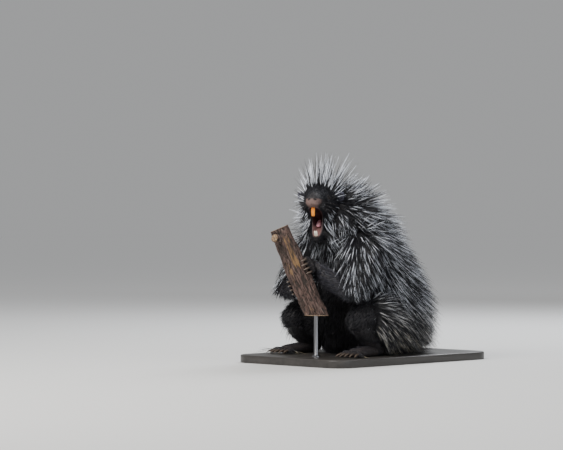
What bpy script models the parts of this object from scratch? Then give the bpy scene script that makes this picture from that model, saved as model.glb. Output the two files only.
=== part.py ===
"""A life-size still model of a North American porcupine.

It sits up on its haunches with its mouth wide open and grips a cut branch. A plain stand carries
it. The row frame has its origin under the middle of the base, +Z up, and the body faces -Y with
the animal's left at +X. Lengths are in metres.
"""

import math
import random

import bmesh
import bpy
import numpy as np
from mathutils import Matrix, Vector
from mathutils.bvhtree import BVHTree

# Clearance that touching pieces keep.
GAP = 0.0003
# How much further than a flat face's vertex the vertex of a sharp edge may move as a form swells.
MOST_SHELL_FACTOR = 2.5
# Faces this near to one plane are merged after a cut, and edges this short are closed up.
SLIVER_ANGLE = math.radians(1.2)
SLIVER_EDGE = 0.0001
SEED = 7

# Stand: a flat base with one rod up to the branch.
BASE_LENGTH = 0.52
BASE_WIDTH = 0.34
BASE_THICKNESS = 0.018
BASE_CORNER = 0.045
BASE_EDGE = 0.003
ROD_RADIUS = 0.005
SEAT = BASE_THICKNESS + GAP

# The sitting frame lies this far in front of the middle of the base.
SITTING_FRAME = Vector((0.0, -0.075, 0.0))

# Stations of a loft: centre x, y, z, then half width, half depth on the near side of the
# section and half depth on its far side. On the trunk near is the belly and far the back; on the
# head and tail near is the top and far the underside.
TRUNK = (
    (0.000, 0.078, 0.040, 0.092, 0.088, 0.096),
    (0.000, 0.076, 0.085, 0.112, 0.106, 0.114),
    (0.000, 0.070, 0.135, 0.117, 0.112, 0.118),
    (0.000, 0.056, 0.192, 0.110, 0.104, 0.110),
    (0.000, 0.034, 0.246, 0.097, 0.088, 0.098),
    (0.000, 0.006, 0.292, 0.081, 0.072, 0.082),
    (0.002, -0.020, 0.328, 0.064, 0.058, 0.066),
    (-0.001, -0.034, 0.347, 0.049, 0.044, 0.053),
    (-0.006, -0.040, 0.362, 0.037, 0.034, 0.043),
)
WAIST_CUT_Z = 0.205
COLLAR_CUT_Z = 0.318
TAIL = (
    (0.000, 0.145, 0.078, 0.046, 0.040, 0.038),
    (-0.003, 0.188, 0.060, 0.043, 0.030, 0.034),
    (-0.012, 0.228, 0.048, 0.038, 0.024, 0.027),
    (-0.026, 0.266, 0.040, 0.031, 0.020, 0.020),
    (-0.044, 0.300, 0.034, 0.021, 0.015, 0.014),
)
THIGH = (
    (0.060, 0.062, 0.088, 0.058, 0.060, 0.056),
    (0.084, 0.018, 0.100, 0.054, 0.056, 0.052),
    (0.100, -0.026, 0.106, 0.043, 0.044, 0.042),
    (0.104, -0.052, 0.100, 0.033, 0.033, 0.032),
)
SHANK = (
    (0.103, -0.046, 0.098, 0.030, 0.030, 0.030),
    (0.104, -0.026, 0.070, 0.026, 0.028, 0.028),
    (0.103, -0.004, 0.044, 0.021, 0.022, 0.022),
    (0.102, 0.002, 0.032, 0.019, 0.020, 0.020),
)
HIND_FOOT = (
    (0.101, 0.014, 0.030, 0.016, 0.013, 0.014),
    (0.103, -0.016, 0.030, 0.019, 0.014, 0.014),
    (0.106, -0.048, 0.028, 0.023, 0.013, 0.013),
    (0.108, -0.070, 0.027, 0.023, 0.011, 0.011),
)
HIND_TOE_COUNT = 5
HIND_TOE_RADIUS = 0.0062
HIND_TOE_LENGTH = 0.022
HIND_TOE_SHORTER = 0.0016
HIND_TOE_SPREAD = 0.0096
HIND_TOE_ROOT = (0.108, -0.070, 0.0262)
HIND_TOE_FAN = 7.0
HIND_TOE_OUT = 5.0
HIND_TOE_ARCH = 0.0012
HIND_CLAW_LENGTH = 0.019
HIND_CLAW_RADIUS = 0.0034
# Stations of a claw: share of its length and share of its radius; it drops by this much of its length.
CLAW = ((-0.25, 0.9), (0.2, 1.0), (0.65, 0.62), (1.0, 0.16))
CLAW_CURVE = 0.30
UPPER_ARM = (
    (0.066, -0.004, 0.270, 0.040, 0.042, 0.044),
    (0.080, -0.030, 0.236, 0.036, 0.038, 0.038),
    (0.092, -0.056, 0.200, 0.030, 0.031, 0.031),
    (0.099, -0.076, 0.172, 0.025, 0.026, 0.026),
)
ELBOW = (0.100, -0.080, 0.168)
ELBOW_RADIUS = 0.0240
FOREARM_RADII = (0.0215, 0.0205)
FOREARM_SAG = 0.004
WRIST_RADII = (0.0150, 0.0125)

# The branch: the point of its axis at the height of the left paw, and its lean.
BRANCH_GRIP = Vector((0.0055, -0.1575, 0.223))
BRANCH_AXIS = Vector((-0.30, -0.30, 1.0)).normalized()
BRANCH_RADIUS = 0.0255
BRANCH_TAPER = 0.022
BRANCH_FOOT_Z = 0.112
BRANCH_TOP = 0.092
BRANCH_SIDES = 20
BRANCH_ROWS = 10
BRANCH_CUT_ALLOWANCE = 0.02
BARK_RIDGE = 0.0011
BARK_RIDGE_COUNT = 7
BARK_TWIST = 31.0
BARK_SWAY = 0.0008
BARK_SWAY_RATE = 60.0
# The knot on the branch: height, compass angle, distance from the axis and radius.
KNOT = (
    (0.066, 285.0, 0.010, 0.0120),
    (0.070, 285.0, 0.022, 0.0105),
    (0.076, 285.0, 0.033, 0.0095),
)

FINGER_COUNT = 4
FINGER_RADIUS = 0.0056
FINGER_SPACING = 0.0100
FINGER_FAN = 7.0
FINGER_TAPER = (1.0, 1.02, 0.96, 0.86)
FORE_CLAW_LENGTH = 0.017
FORE_CLAW_RADIUS = 0.0031
# Stations of a forepaw's claw: share of its length, share of its radius, height off the bark.
FORE_CLAW = ((-0.2, 0.9, 0.0056), (0.2, 1.0, 0.0058), (0.6, 0.72, 0.0042), (1.0, 0.18, 0.0010))
PALM_HALF_THICK = 0.0085
PALM_PRESS = 0.86
PALM_HEEL = (-24.0, 0.0080, 0.0140, 0.0115)
PALM_SPAN = (-8.0, 14.0)
WRIST_ANGLE = 30.0
WRIST_OFF = 0.019
WRIST_DROP = 0.003

# Each forepaw: how far up the branch it holds, the compass angle round the branch at which the
# palm lies and the angle at which the fingers end, in degrees from +X towards +Y.
PAWS = {
    "left": (-0.010, 56.0, 16.0),
    "right": (-0.042, 160.0, 208.0),
}

# Head frame: origin at the tip of the nose, x to the animal's left, y back, z up.
NOSE_TIP = Vector((0.0382, -0.1368, 0.366))
HEAD_TURN = math.radians(30.0)
HEAD_LIFT = math.radians(5.0)
HEAD = (
    (0.000, 0.0015, 0.0005, 0.0132, 0.0118, 0.0092),
    (0.000, 0.0080, 0.0010, 0.0170, 0.0186, 0.0122),
    (0.000, 0.0200, 0.0015, 0.0195, 0.0248, 0.0144),
    (0.000, 0.0360, 0.0015, 0.0238, 0.0300, 0.0178),
    (0.000, 0.0520, 0.0020, 0.0292, 0.0345, 0.0220),
    (0.000, 0.0700, 0.0030, 0.0350, 0.0380, 0.0280),
    (0.000, 0.0880, 0.0030, 0.0378, 0.0400, 0.0330),
    (0.000, 0.1060, 0.0010, 0.0365, 0.0370, 0.0330),
    (0.000, 0.1200, -0.0030, 0.0310, 0.0300, 0.0290),
)
CHEEKS = (
    (0.000, 0.0640, -0.0300, 0.0205, 0.0190, 0.0200),
    (0.000, 0.0770, -0.0330, 0.0290, 0.0240, 0.0270),
    (0.000, 0.0930, -0.0330, 0.0345, 0.0270, 0.0300),
    (0.000, 0.1080, -0.0280, 0.0320, 0.0250, 0.0260),
)
MOUTH = (
    (0.000, 0.0360, -0.0400, 0.0105, 0.0210, 0.0200),
    (0.000, 0.0540, -0.0380, 0.0115, 0.0190, 0.0190),
    (0.000, 0.0700, -0.0360, 0.0090, 0.0140, 0.0130),
    (0.000, 0.0800, -0.0340, 0.0060, 0.0080, 0.0080),
)
# The upper lip from its middle to the left corner of the mouth, and the lower lip in the jaw's
# own frame: x, y, z and thickness.
UPPER_LIP = (
    (0.0000, 0.0088, -0.0098, 0.0017),
    (0.0088, 0.0105, -0.0112, 0.0019),
    (0.0146, 0.0220, -0.0135, 0.0020),
    (0.0172, 0.0360, -0.0165, 0.0020),
    (0.0196, 0.0540, -0.0215, 0.0018),
)
LOWER_LIP = (
    (0.0000, -0.0700, -0.0092, 0.0020),
    (0.0054, -0.0680, -0.0088, 0.0021),
    (0.0086, -0.0580, -0.0080, 0.0022),
    (0.0110, -0.0460, -0.0078, 0.0022),
    (0.0160, -0.0300, -0.0075, 0.0018),
)
JAW_HINGE = Vector((0.0, 0.084, -0.020))
GAPE = math.radians(45.0)
JAW = (
    (0.000, 0.0060, -0.0160, 0.0270, 0.0150, 0.0120),
    (0.000, -0.0180, -0.0170, 0.0255, 0.0140, 0.0120),
    (0.000, -0.0380, -0.0180, 0.0190, 0.0120, 0.0100),
    (0.000, -0.0560, -0.0170, 0.0140, 0.0100, 0.0080),
    (0.000, -0.0660, -0.0160, 0.0105, 0.0080, 0.0065),
)
TROUGH = (
    (0.000, -0.0100, -0.0050, 0.0090, 0.0060, 0.0100),
    (0.000, -0.0340, -0.0060, 0.0082, 0.0065, 0.0100),
    (0.000, -0.0540, -0.0070, 0.0062, 0.0050, 0.0100),
)
TONGUE = (
    (0.000, -0.0040, -0.0085, 0.0064, 0.0030, 0.0040),
    (0.000, -0.0190, -0.0070, 0.0062, 0.0036, 0.0048),
    (0.000, -0.0320, -0.0060, 0.0054, 0.0032, 0.0044),
)
EYE_CENTRE = Vector((0.0222, 0.0505, 0.0151))
EYE_OUTWARD = Vector((0.86, -0.42, 0.26)).normalized()
EYE_RADIUS = 0.0058
LID_RADIUS = 0.0013
LID_RISE = 0.0034
LID_RING = 0.0051
LID_STRETCH = (1.06, 0.84)
EAR_ROOT = Vector((0.0340, 0.0800, 0.0145))
EAR_HEIGHT = 0.0195
EAR_RADII = (0.0100, 0.0056, 0.0130)
EAR_SPLAY = math.radians(52)
EAR_TURN = math.radians(32)
CUP_CENTRE = (0.0, -0.0058, 0.0085)
CUP_RADII = (0.0072, 0.0064, 0.0090)
NOSTRIL = Vector((0.0066, 0.0002, 0.0068))
NOSTRIL_RADII = (0.0032, 0.0040, 0.0017)
TOOTH_WIDTH = 0.0040
TOOTH_DEPTH = 0.0034
TOOTH_SIDES = 8
TOOTH_SQUARE = 2.67
# Stations of a tooth: share of its length and share of its depth.
TOOTH = ((-0.4, 1.0), (0.2, 1.0), (0.7, 0.9), (1.0, 0.3))
# Each pair of incisors: root, direction, forward curve and length.
UPPER_INCISORS = ((0, 0.0110, -0.0115), (0, -0.10, -1), (0, 0.0040, 0), 0.0185)
LOWER_INCISORS = ((0, -0.0640, -0.0085), (0, -0.16, 1), (0, 0.0030, 0), 0.0130)

# Quills: thickness at the skin, how deep a root is sunk, and the spacing of each coat.
QUILL_RADIUS = 0.0014
QUILL_SINK = 0.0045
BACK_SPACING = 0.0190
NECK_SPACING = 0.0158
HEAD_SPACING = 0.0112
TAIL_SPACING = 0.0160
LIMB_SPACING = 0.0200
QUILL_MIDDLE = 0.86
LENGTH_SPREAD = (0.84, 1.12)
WANDER = 0.09
# A quill that meets something is tried again, lifted by this much and cut to this share.
SECOND_TRIES = ((0.0, 1.0), (0.35, 1.0), (0.8, 0.95), (0.35, 0.7), (1.4, 0.7))
TRIES_PER_QUILL = 26
LIE_CLEARANCE = 0.0005
TAILWARD = Vector((0.0, 0.30, -1.0)).normalized()
NAPE_Z = 0.335
# By height on the trunk: how far round to the front quills reach, their lean towards the tail,
# their length and their sag.
BARE_FRONT = ((0.10, 0.05), (0.17, -0.25), (0.26, -0.45))
BACK_LEAN = ((0.18, 0.58), (0.29, 0.66), (0.335, 0.42), (0.365, 0.08))
BACK_LENGTH = ((0.03, 0.056), (0.10, 0.076), (0.22, 0.075), (0.30, 0.072), (0.36, 0.088))
BACK_SAG = ((0.25, 0.16), (0.36, 0.07))
HEAD_HALF_WIDTH = 0.038
CREST_NARROWING = 0.50
# A three-sided quill's corners stand this much further out than a round one's skin.
TRIANGLE_SWELL = 1.25
QUILL_REACH = QUILL_RADIUS * TRIANGLE_SWELL + LIE_CLEARANCE

COAT_COLOUR = (0.030, 0.026, 0.026)
PAW_COLOUR = (0.050, 0.038, 0.034)
TOOTH_COLOUR = (0.85, 0.33, 0.03)
LOWER_TOOTH_COLOUR = (0.86, 0.72, 0.50)
TONGUE_COLOUR = (0.55, 0.25, 0.28)
EYE_COLOUR = (0.010, 0.008, 0.007)
BARK_COLOUR = (0.155, 0.105, 0.075)
BASE_COLOUR = (0.11, 0.10, 0.09)
ROD_COLOUR = (0.45, 0.45, 0.46)


def turns(count):
    return [2 * math.pi * k / count for k in range(count)]


def clear_scene():
    for obj in list(bpy.data.objects):
        bpy.data.objects.remove(obj, do_unlink=True)


def material(name, colour, roughness, metallic=0.0):
    made = bpy.data.materials.get(name) or bpy.data.materials.new(name)
    made.use_nodes = True
    shader = made.node_tree.nodes["Principled BSDF"]
    shader.inputs["Base Color"].default_value = (*colour, 1.0)
    shader.inputs["Roughness"].default_value = roughness
    shader.inputs["Metallic"].default_value = metallic
    made.diffuse_color = (*colour, 1.0)
    return made


def shell_object(name, shell):
    """An object of triangles, which stay flat through the cuts."""
    bmesh.ops.triangulate(shell, faces=shell.faces)
    mesh = bpy.data.meshes.new(name)
    shell.to_mesh(mesh)
    shell.free()
    obj = bpy.data.objects.new(name, mesh)
    bpy.context.scene.collection.objects.link(obj)
    return obj


def add_object(name, points, faces):
    """A closed mesh object whose faces point outwards."""
    shell = bmesh.new()
    verts = [shell.verts.new(p) for p in points]
    for face in faces:
        shell.faces.new([verts[k] for k in face])
    bmesh.ops.recalc_face_normals(shell, faces=shell.faces)
    return shell_object(name, shell)


def smooth_stations(stations, rows):
    """The stations read at evenly spaced rows of a curve that passes through all of them."""
    knots = np.array(stations, float)
    last = len(knots) - 1
    padded = np.vstack([2 * knots[0] - knots[1], knots, 2 * knots[-1] - knots[-2]])
    read = []
    for step in range(rows):
        t = last * step / (rows - 1)
        k = min(int(t), last - 1)
        u = t - k
        a, b, c, d = padded[k : k + 4]
        bend = 2 * a - 5 * b + 4 * c - d
        sway = 3 * b - a - 3 * c + d
        read.append((0.5 * (2 * b + (c - a) * u + bend * u**2 + sway * u**3)).tolist())
    return read


def section(centre, along, widths, across, sides, square):
    """One ring of points round a centre: half width, near half depth, far half depth."""
    wide = (across - across.dot(along) * along).normalized()
    deep = along.cross(wide)
    ring = []
    for turn in turns(sides):
        c, s = math.cos(turn), math.sin(turn)
        x = math.copysign(abs(c) ** (2 / square), c) * widths[0]
        y = math.copysign(abs(s) ** (2 / square), s) * (widths[2] if s > 0 else widths[1])
        ring.append(centre + x * wide + y * deep)
    return ring


def loft(name, stations, sides=16, rows=12, ends=(0.8, 0.8), across=(1, 0, 0), square=2.0, dome=(32, 62)):
    """A closed round form through the stations, with a domed cap at each end.

    ends gives each dome's height as a share of the half depth there, dome the degrees up from
    its rim at which its rings lie, and square above 2 makes the section boxier.
    """
    read = smooth_stations(stations, rows)
    centres = [Vector(r[:3]) for r in read]
    across = Vector(across)
    ahead = [(centres[min(k + 1, rows - 1)] - centres[max(k - 1, 0)]).normalized() for k in range(rows)]
    rings = [section(c, t, r[3:6], across, sides, square) for c, t, r in zip(centres, ahead, read)]
    poles = []
    for end, way in ((0, -1), (-1, 1)):
        centre, along, widths = centres[end], ahead[end], read[end][3:6]
        height = way * ends[end] * min(widths[1:])
        cap = []
        for turn in map(math.radians, dome):
            small = [w * math.cos(turn) for w in widths]
            middle = centre + along * height * math.sin(turn)
            cap.append(section(middle, along, small, across, sides, square))
        rings = cap[::-1] + rings if end == 0 else rings + cap
        poles.append(centre + along * height)
    return close_rings(name, rings, poles)


def close_rings(name, rings, poles):
    """Joins rings of points with quads and closes both ends with a fan to a pole."""
    sides = len(rings[0])
    points = [p for ring in rings for p in ring] + list(poles)
    faces = []
    for row in range(len(rings) - 1):
        for k in range(sides):
            n = (k + 1) % sides
            a, b = row * sides, (row + 1) * sides
            faces.append((a + k, a + n, b + n, b + k))
    last = (len(rings) - 1) * sides
    for k in range(sides):
        n = (k + 1) % sides
        faces.append((len(points) - 2, n, k))
        faces.append((len(points) - 1, last + k, last + n))
    return add_object(name, points, faces)


def close_hoop(name, rings):
    """Joins rings of points into a closed hoop."""
    sides = len(rings[0])
    faces = []
    for row in range(len(rings)):
        a, b = row * sides, (row + 1) % len(rings) * sides
        for k in range(sides):
            n = (k + 1) % sides
            faces.append((a + k, b + k, b + n, a + n))
    return add_object(name, [p for ring in rings for p in ring], faces)


def tube(name, path, radii, sides=6, across=(0, 0, 1)):
    """A round tube along a short path, with blunt ends."""
    stations = [(*p, r, r, r) for p, r in zip(path, radii)]
    return loft(name, stations, sides=sides, rows=len(path), across=across, ends=(0.6, 0.6), dome=())


def lip(name, half):
    """A lip from corner to corner, from its stations on the left side."""
    path = [Vector((-x, y, z)) for x, y, z, _ in half[:0:-1]] + [Vector(p[:3]) for p in half]
    radii = [p[3] for p in half[:0:-1]] + [p[3] for p in half]
    return tube(name, path, radii)


def mirrored(stations):
    """The same stations on the animal's right side."""
    return [(-x, *rest) for x, *rest in stations]


def sided(stations, side):
    return stations if side == "left" else mirrored(stations)


def dissolve_slivers(obj):
    """Merges the flat slivers that cuts leave, by as much as keeps the surface closed."""
    for angle in (SLIVER_ANGLE, SLIVER_ANGLE / 4, 0.0):
        shell = bmesh.new()
        shell.from_mesh(obj.data)
        bmesh.ops.dissolve_limit(shell, angle_limit=angle, verts=shell.verts, edges=shell.edges)
        bmesh.ops.triangulate(shell, faces=shell.faces)
        bmesh.ops.dissolve_degenerate(shell, dist=SLIVER_EDGE, edges=shell.edges)
        bmesh.ops.triangulate(shell, faces=shell.faces)
        closed = all(edge.is_manifold for edge in shell.edges)
        if closed:
            shell.to_mesh(obj.data)
        shell.free()
        if closed:
            return


def on_side(point, side):
    return Vector((point[0] if side == "left" else -point[0], point[1], point[2]))


def apply_modifiers(obj):
    graph = bpy.context.evaluated_depsgraph_get()
    mesh = bpy.data.meshes.new_from_object(obj.evaluated_get(graph))
    obj.modifiers.clear()
    worn = obj.data
    obj.data = mesh
    bpy.data.meshes.remove(worn)


def keep_largest(obj):
    """Keeps only the closed surface that spans the most, and drops any loose scrap."""
    shell = bmesh.new()
    shell.from_mesh(obj.data)
    shell.verts.ensure_lookup_table()
    unseen = set(shell.verts)
    islands = []
    while unseen:
        island = {unseen.pop()}
        front = list(island)
        while front:
            for edge in front.pop().link_edges:
                for vert in edge.verts:
                    if vert in unseen:
                        unseen.discard(vert)
                        island.add(vert)
                        front.append(vert)
        islands.append(island)

    def spread(island):
        places = np.array([v.co for v in island])
        return float(np.prod(places.max(0) - places.min(0) + 1e-9))

    largest = max(islands, key=spread)
    loose = [v for island in islands if island is not largest for v in island]
    bmesh.ops.delete(shell, geom=loose, context="VERTS")
    shell.to_mesh(obj.data)
    shell.free()


def discard(*objs):
    for obj in objs:
        mesh = obj.data
        bpy.data.objects.remove(obj, do_unlink=True)
        bpy.data.meshes.remove(mesh)


def subtract(obj, cutter, solver="MANIFOLD"):
    cut = obj.modifiers.new("Cut", "BOOLEAN")
    cut.operation = "DIFFERENCE"
    cut.solver = solver
    cut.object = cutter
    apply_modifiers(obj)
    keep_largest(obj)


def unite(obj, pieces, solver="MANIFOLD"):
    """Fuses the pieces into the object with one union, and removes them."""
    if not pieces:
        return
    group = bpy.data.collections.new("Pieces")
    for piece in pieces:
        group.objects.link(piece)
    join = obj.modifiers.new("Join", "BOOLEAN")
    join.operation = "UNION"
    join.operand_type = "COLLECTION"
    join.solver = solver
    join.collection = group
    apply_modifiers(obj)
    discard(*pieces)
    bpy.data.collections.remove(group)
    keep_largest(obj)


def swollen(obj, by=GAP):
    """A copy of the object whose skin stands out by the clearance, to cut a neighbour with."""
    copy = obj.copy()
    copy.data = obj.data.copy()
    bpy.context.scene.collection.objects.link(copy)
    shell = bmesh.new()
    shell.from_mesh(copy.data)
    steps = [v.normal * by * min(v.calc_shell_factor(), MOST_SHELL_FACTOR) for v in shell.verts]
    for vert, step in zip(shell.verts, steps):
        vert.co += step
    shell.to_mesh(copy.data)
    shell.free()
    return copy


def clear_of(obj, *neighbours):
    """Cuts the object back from its neighbours, so that they meet face to face."""
    for neighbour in neighbours:
        cutter = swollen(neighbour)
        subtract(obj, cutter)
        discard(cutter)
    dissolve_slivers(obj)


def box(name, low, high):
    corners = [(x, y, z) for x in (low[0], high[0]) for y in (low[1], high[1]) for z in (low[2], high[2])]
    faces = [(0, 1, 3, 2), (4, 6, 7, 5), (0, 4, 5, 1), (2, 3, 7, 6), (0, 2, 6, 4), (1, 5, 7, 3)]
    return add_object(name, corners, faces)


def flatten_below(obj, level):
    """Cuts a small flat where the form would reach below the level that it rests on."""
    cutter = box("Below", (-1, -1, -1), (1, 1, level))
    subtract(obj, cutter)
    discard(cutter)


def head_matrix():
    return (
        Matrix.Translation(NOSE_TIP)
        @ Matrix.Rotation(HEAD_TURN, 4, "Z")
        @ Matrix.Rotation(-HEAD_LIFT, 4, "X")
    )


def jaw_matrix():
    return head_matrix() @ Matrix.Translation(JAW_HINGE) @ Matrix.Rotation(GAPE, 4, "X")


def place(obj, matrix):
    obj.data.transform(matrix)
    obj.data.update()


def branch_point(height):
    """The point of the branch's axis this far above the grip, measured along the axis."""
    return BRANCH_GRIP + BRANCH_AXIS * height


def branch_radius(height):
    return BRANCH_RADIUS + (BRANCH_TAPER - BRANCH_RADIUS) * max(0.0, height) / BRANCH_TOP


def branch_sides():
    """Two directions square to the branch: one nearest +X and one nearest +Y."""
    east = (Vector((1, 0, 0)) - BRANCH_AXIS.x * BRANCH_AXIS).normalized()
    return east, BRANCH_AXIS.cross(east)


def round_branch(height, angle, distance):
    """A point at a compass angle round the branch, this far from its axis."""
    east, north = branch_sides()
    turn = math.radians(angle)
    return branch_point(height) + distance * (math.cos(turn) * east + math.sin(turn) * north)


def make_branch():
    """The cut length of branch: ridged bark, a knot, a sawn top and a level foot for the rod."""
    low = (BRANCH_FOOT_Z - BRANCH_GRIP.z) / BRANCH_AXIS.z - BRANCH_CUT_ALLOWANCE
    rings = []
    for height in np.linspace(low, BRANCH_TOP, BRANCH_ROWS).tolist():
        ring = []
        for turn in turns(BRANCH_SIDES):
            ridge = BARK_RIDGE * 0.6 * (math.sin(BARK_RIDGE_COUNT * turn + BARK_TWIST * height) - 1)
            sway = BARK_SWAY * abs(math.sin(BARK_SWAY_RATE * height + 2 * turn))
            ring.append(round_branch(height, math.degrees(turn), branch_radius(height) + ridge - sway))
        rings.append(ring)
    branch = close_rings("perch_branch", rings, (branch_point(low), branch_point(BRANCH_TOP)))
    path = [round_branch(height, angle, off) for height, angle, off, _ in KNOT]
    unite(branch, [tube("Knot", path, [k[3] for k in KNOT], sides=10)])
    flatten_below(branch, BRANCH_FOOT_Z)
    dissolve_slivers(branch)
    return branch


def make_stand():
    """A rounded base plate and a rod that ends under the branch's foot."""
    half_x, half_y = BASE_WIDTH / 2, BASE_LENGTH / 2
    plate = bmesh.new()
    bmesh.ops.create_cube(plate, size=1.0)
    for vert in plate.verts:
        vert.co.x *= 2 * half_x
        vert.co.y *= 2 * half_y
        vert.co.z = (vert.co.z + 0.5) * BASE_THICKNESS
    uprights = [e for e in plate.edges if abs(e.verts[0].co.z - e.verts[1].co.z) > BASE_THICKNESS / 2]
    bmesh.ops.bevel(plate, geom=uprights, offset=BASE_CORNER, segments=5, profile=0.5, affect="EDGES")
    rim = [e for e in plate.edges if min(v.co.z for v in e.verts) > BASE_THICKNESS * 0.99]
    bmesh.ops.bevel(plate, geom=rim, offset=BASE_EDGE, segments=1, profile=0.5, affect="EDGES")
    base = shell_object("stand_base", plate)

    foot = branch_point((BRANCH_FOOT_Z - BRANCH_GRIP.z) / BRANCH_AXIS.z)
    bottom, top = BASE_THICKNESS + GAP, BRANCH_FOOT_Z - GAP
    poles = [Vector((foot.x, foot.y, z)) for z in (bottom, top)]
    widths = [ROD_RADIUS] * 3
    rings = [section(pole, Vector((0, 0, 1)), widths, Vector((1, 0, 0)), 14, 2.0) for pole in poles]
    return base, close_rings("stand_rod", rings, poles)


def make_trunk():
    """Neck, chest and belly with rump: one pear-shaped form parted by thin level cuts."""
    whole = loft("Trunk", TRUNK, sides=24, rows=15, ends=(0.62, 0.5))
    flatten_below(whole, SEAT)
    parts = []
    levels = (-1.0, WAIST_CUT_Z, COLLAR_CUT_Z, 1.0)
    for name, low, high in zip(("rump_and_belly", "chest", "neck"), levels, levels[1:]):
        part = whole.copy()
        part.data = whole.data.copy()
        part.name = name
        bpy.context.scene.collection.objects.link(part)
        for below, above in ((-2.0, low + GAP / 2), (high - GAP / 2, 2.0)):
            cutter = box("Level", (-1, -1, below), (1, 1, above))
            subtract(part, cutter)
            discard(cutter)
        parts.append(part)
        dissolve_slivers(part)
    discard(whole)
    return parts


def make_lids(side):
    """A raised rim round the eye, a little longer than it is high."""
    outward = on_side(EYE_OUTWARD, side)
    along = Vector((0, 0, 1)).cross(outward).normalized()
    up = outward.cross(along)
    centre = on_side(EYE_CENTRE, side) + outward * LID_RISE
    rings = []
    for turn in turns(12):
        out = math.cos(turn) * along * LID_STRETCH[0] + math.sin(turn) * up * LID_STRETCH[1]
        across = out.normalized()
        rims = [math.cos(r) * across + math.sin(r) * outward for r in turns(6)]
        rings.append([centre + out * LID_RING + rim * LID_RADIUS for rim in rims])
    return close_hoop("Lids_" + side, rings)


def ball(name, centre, radii, columns=14, rows=8):
    shell = bmesh.new()
    bmesh.ops.create_uvsphere(shell, u_segments=columns, v_segments=rows, radius=1.0)
    for vert in shell.verts:
        vert.co = Vector(centre) + vert.co * Vector(radii)
    return shell_object(name, shell)


def make_head():
    """Skull, muzzle and cheeks in one form, with lips, lids, nostrils and an open mouth."""
    head = loft("head", HEAD, sides=20, rows=12, ends=(0.5, 0.8), square=2.15)
    cheeks = loft("Cheeks", CHEEKS, sides=16, rows=5, ends=(0.6, 0.8))
    unite(head, [cheeks, lip("UpperLip", UPPER_LIP), make_lids("left"), make_lids("right")])
    cutters = [loft("Mouth", MOUTH, sides=12, rows=5, ends=(0.4, 0.6), square=2.4)]
    for side in ("left", "right"):
        cutters.append(ball("Nostril", on_side(NOSTRIL, side), NOSTRIL_RADII, 8, 6))
        cutters.append(ball("Socket", on_side(EYE_CENTRE, side), (EYE_RADIUS + 2 * GAP,) * 3, 10, 7))
    for cutter in cutters:
        subtract(head, cutter)
    discard(*cutters)
    dissolve_slivers(head)
    place(head, head_matrix())
    return head


def make_eye(side):
    eye = ball("eye_" + side, on_side(EYE_CENTRE, side), (EYE_RADIUS,) * 3, 10, 7)
    place(eye, head_matrix())
    return eye


def make_ear(side):
    """A small round ear with a hollow cup that opens forwards and outwards."""
    sign = 1 if side == "left" else -1
    tilt = (
        Matrix.Translation(on_side(EAR_ROOT, side))
        @ Matrix.Rotation(sign * EAR_SPLAY, 4, "Y")
        @ Matrix.Rotation(sign * EAR_TURN, 4, "Z")
    )
    ear = ball("ear_" + side, (0, 0, EAR_HEIGHT - EAR_RADII[2]), EAR_RADII, 10, 7)
    cup = ball("Cup", CUP_CENTRE, CUP_RADII, 8, 6)
    subtract(ear, cup)
    discard(cup)
    place(ear, head_matrix() @ tilt)
    return ear


def make_jaw():
    """The lower jaw, swung wide open, with a raised lip and a trough for the tongue."""
    jaw = loft("lower_jaw", JAW, sides=16, rows=8, ends=(0.4, 0.7), square=2.2)
    unite(jaw, [lip("LowerLip", LOWER_LIP)])
    trough = loft("Trough", TROUGH, sides=10, rows=4, ends=(0.5, 0.5), dome=(45,))
    subtract(jaw, trough)
    discard(trough)
    place(jaw, jaw_matrix())
    return jaw


def make_tongue():
    tongue = loft("tongue", TONGUE, sides=10, rows=4, ends=(1.0, 1.4), dome=(45,))
    place(tongue, jaw_matrix())
    return tongue


def make_incisors(name, shape, matrix):
    """Two incisors side by side, fused along their inner faces, with chisel tips."""
    root, way, curve = (Vector(v) for v in shape[:3])
    along = way.normalized()
    pair = []
    for sign in (1, -1):
        rings = []
        for share, thin in TOOTH:
            centre = root + along * shape[3] * share + curve * share**2
            centre.x += sign * TOOTH_WIDTH * 0.49
            widths = (TOOTH_WIDTH / 2, TOOTH_DEPTH / 2 * thin, TOOTH_DEPTH / 2 * thin)
            rings.append(section(centre, along, widths, Vector((1, 0, 0)), TOOTH_SIDES, TOOTH_SQUARE))
        poles = [sum(ring, Vector()) / TOOTH_SIDES for ring in (rings[0], rings[-1])]
        pair.append(close_rings(name if sign == 1 else "Second", rings, poles))
    unite(pair[0], [pair[1]])
    place(pair[0], matrix)
    return pair[0]


def make_tail():
    tail = loft("tail", TAIL, sides=18, rows=9, ends=(0.5, 1.0))
    flatten_below(tail, SEAT)
    return tail


def make_hind_foot(side):
    """A long sole with five toes, each with a curved claw, flat on the base."""
    foot = loft("hind_foot_" + side, sided(HIND_FOOT, side), sides=12, rows=5, ends=(0.9, 0.8), dome=(45,))
    down = Vector((0, 0, -1))
    toes = []
    for k in range(HIND_TOE_COUNT):
        spread = k - (HIND_TOE_COUNT - 1) / 2
        fan = math.radians(HIND_TOE_FAN * spread + HIND_TOE_OUT)
        way = on_side((math.sin(fan), -math.cos(fan), 0), side)
        out, ahead, up = HIND_TOE_ROOT
        root = on_side((out + HIND_TOE_SPREAD * spread, ahead, up), side)
        step = way * (HIND_TOE_LENGTH - HIND_TOE_SHORTER * abs(spread))
        path = (root, root + step * 0.55 - down * HIND_TOE_ARCH, root + step + down * HIND_TOE_ARCH)
        radii = [HIND_TOE_RADIUS * share for share in (1.0, 1.0, 0.82)]
        toes.append(tube(f"Toe{k}", path, radii))
        toes.append(make_claw(f"Claw{k}", root + step, way, down, HIND_CLAW_LENGTH, HIND_CLAW_RADIUS))
    unite(foot, toes)
    flatten_below(foot, SEAT)
    return foot


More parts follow.
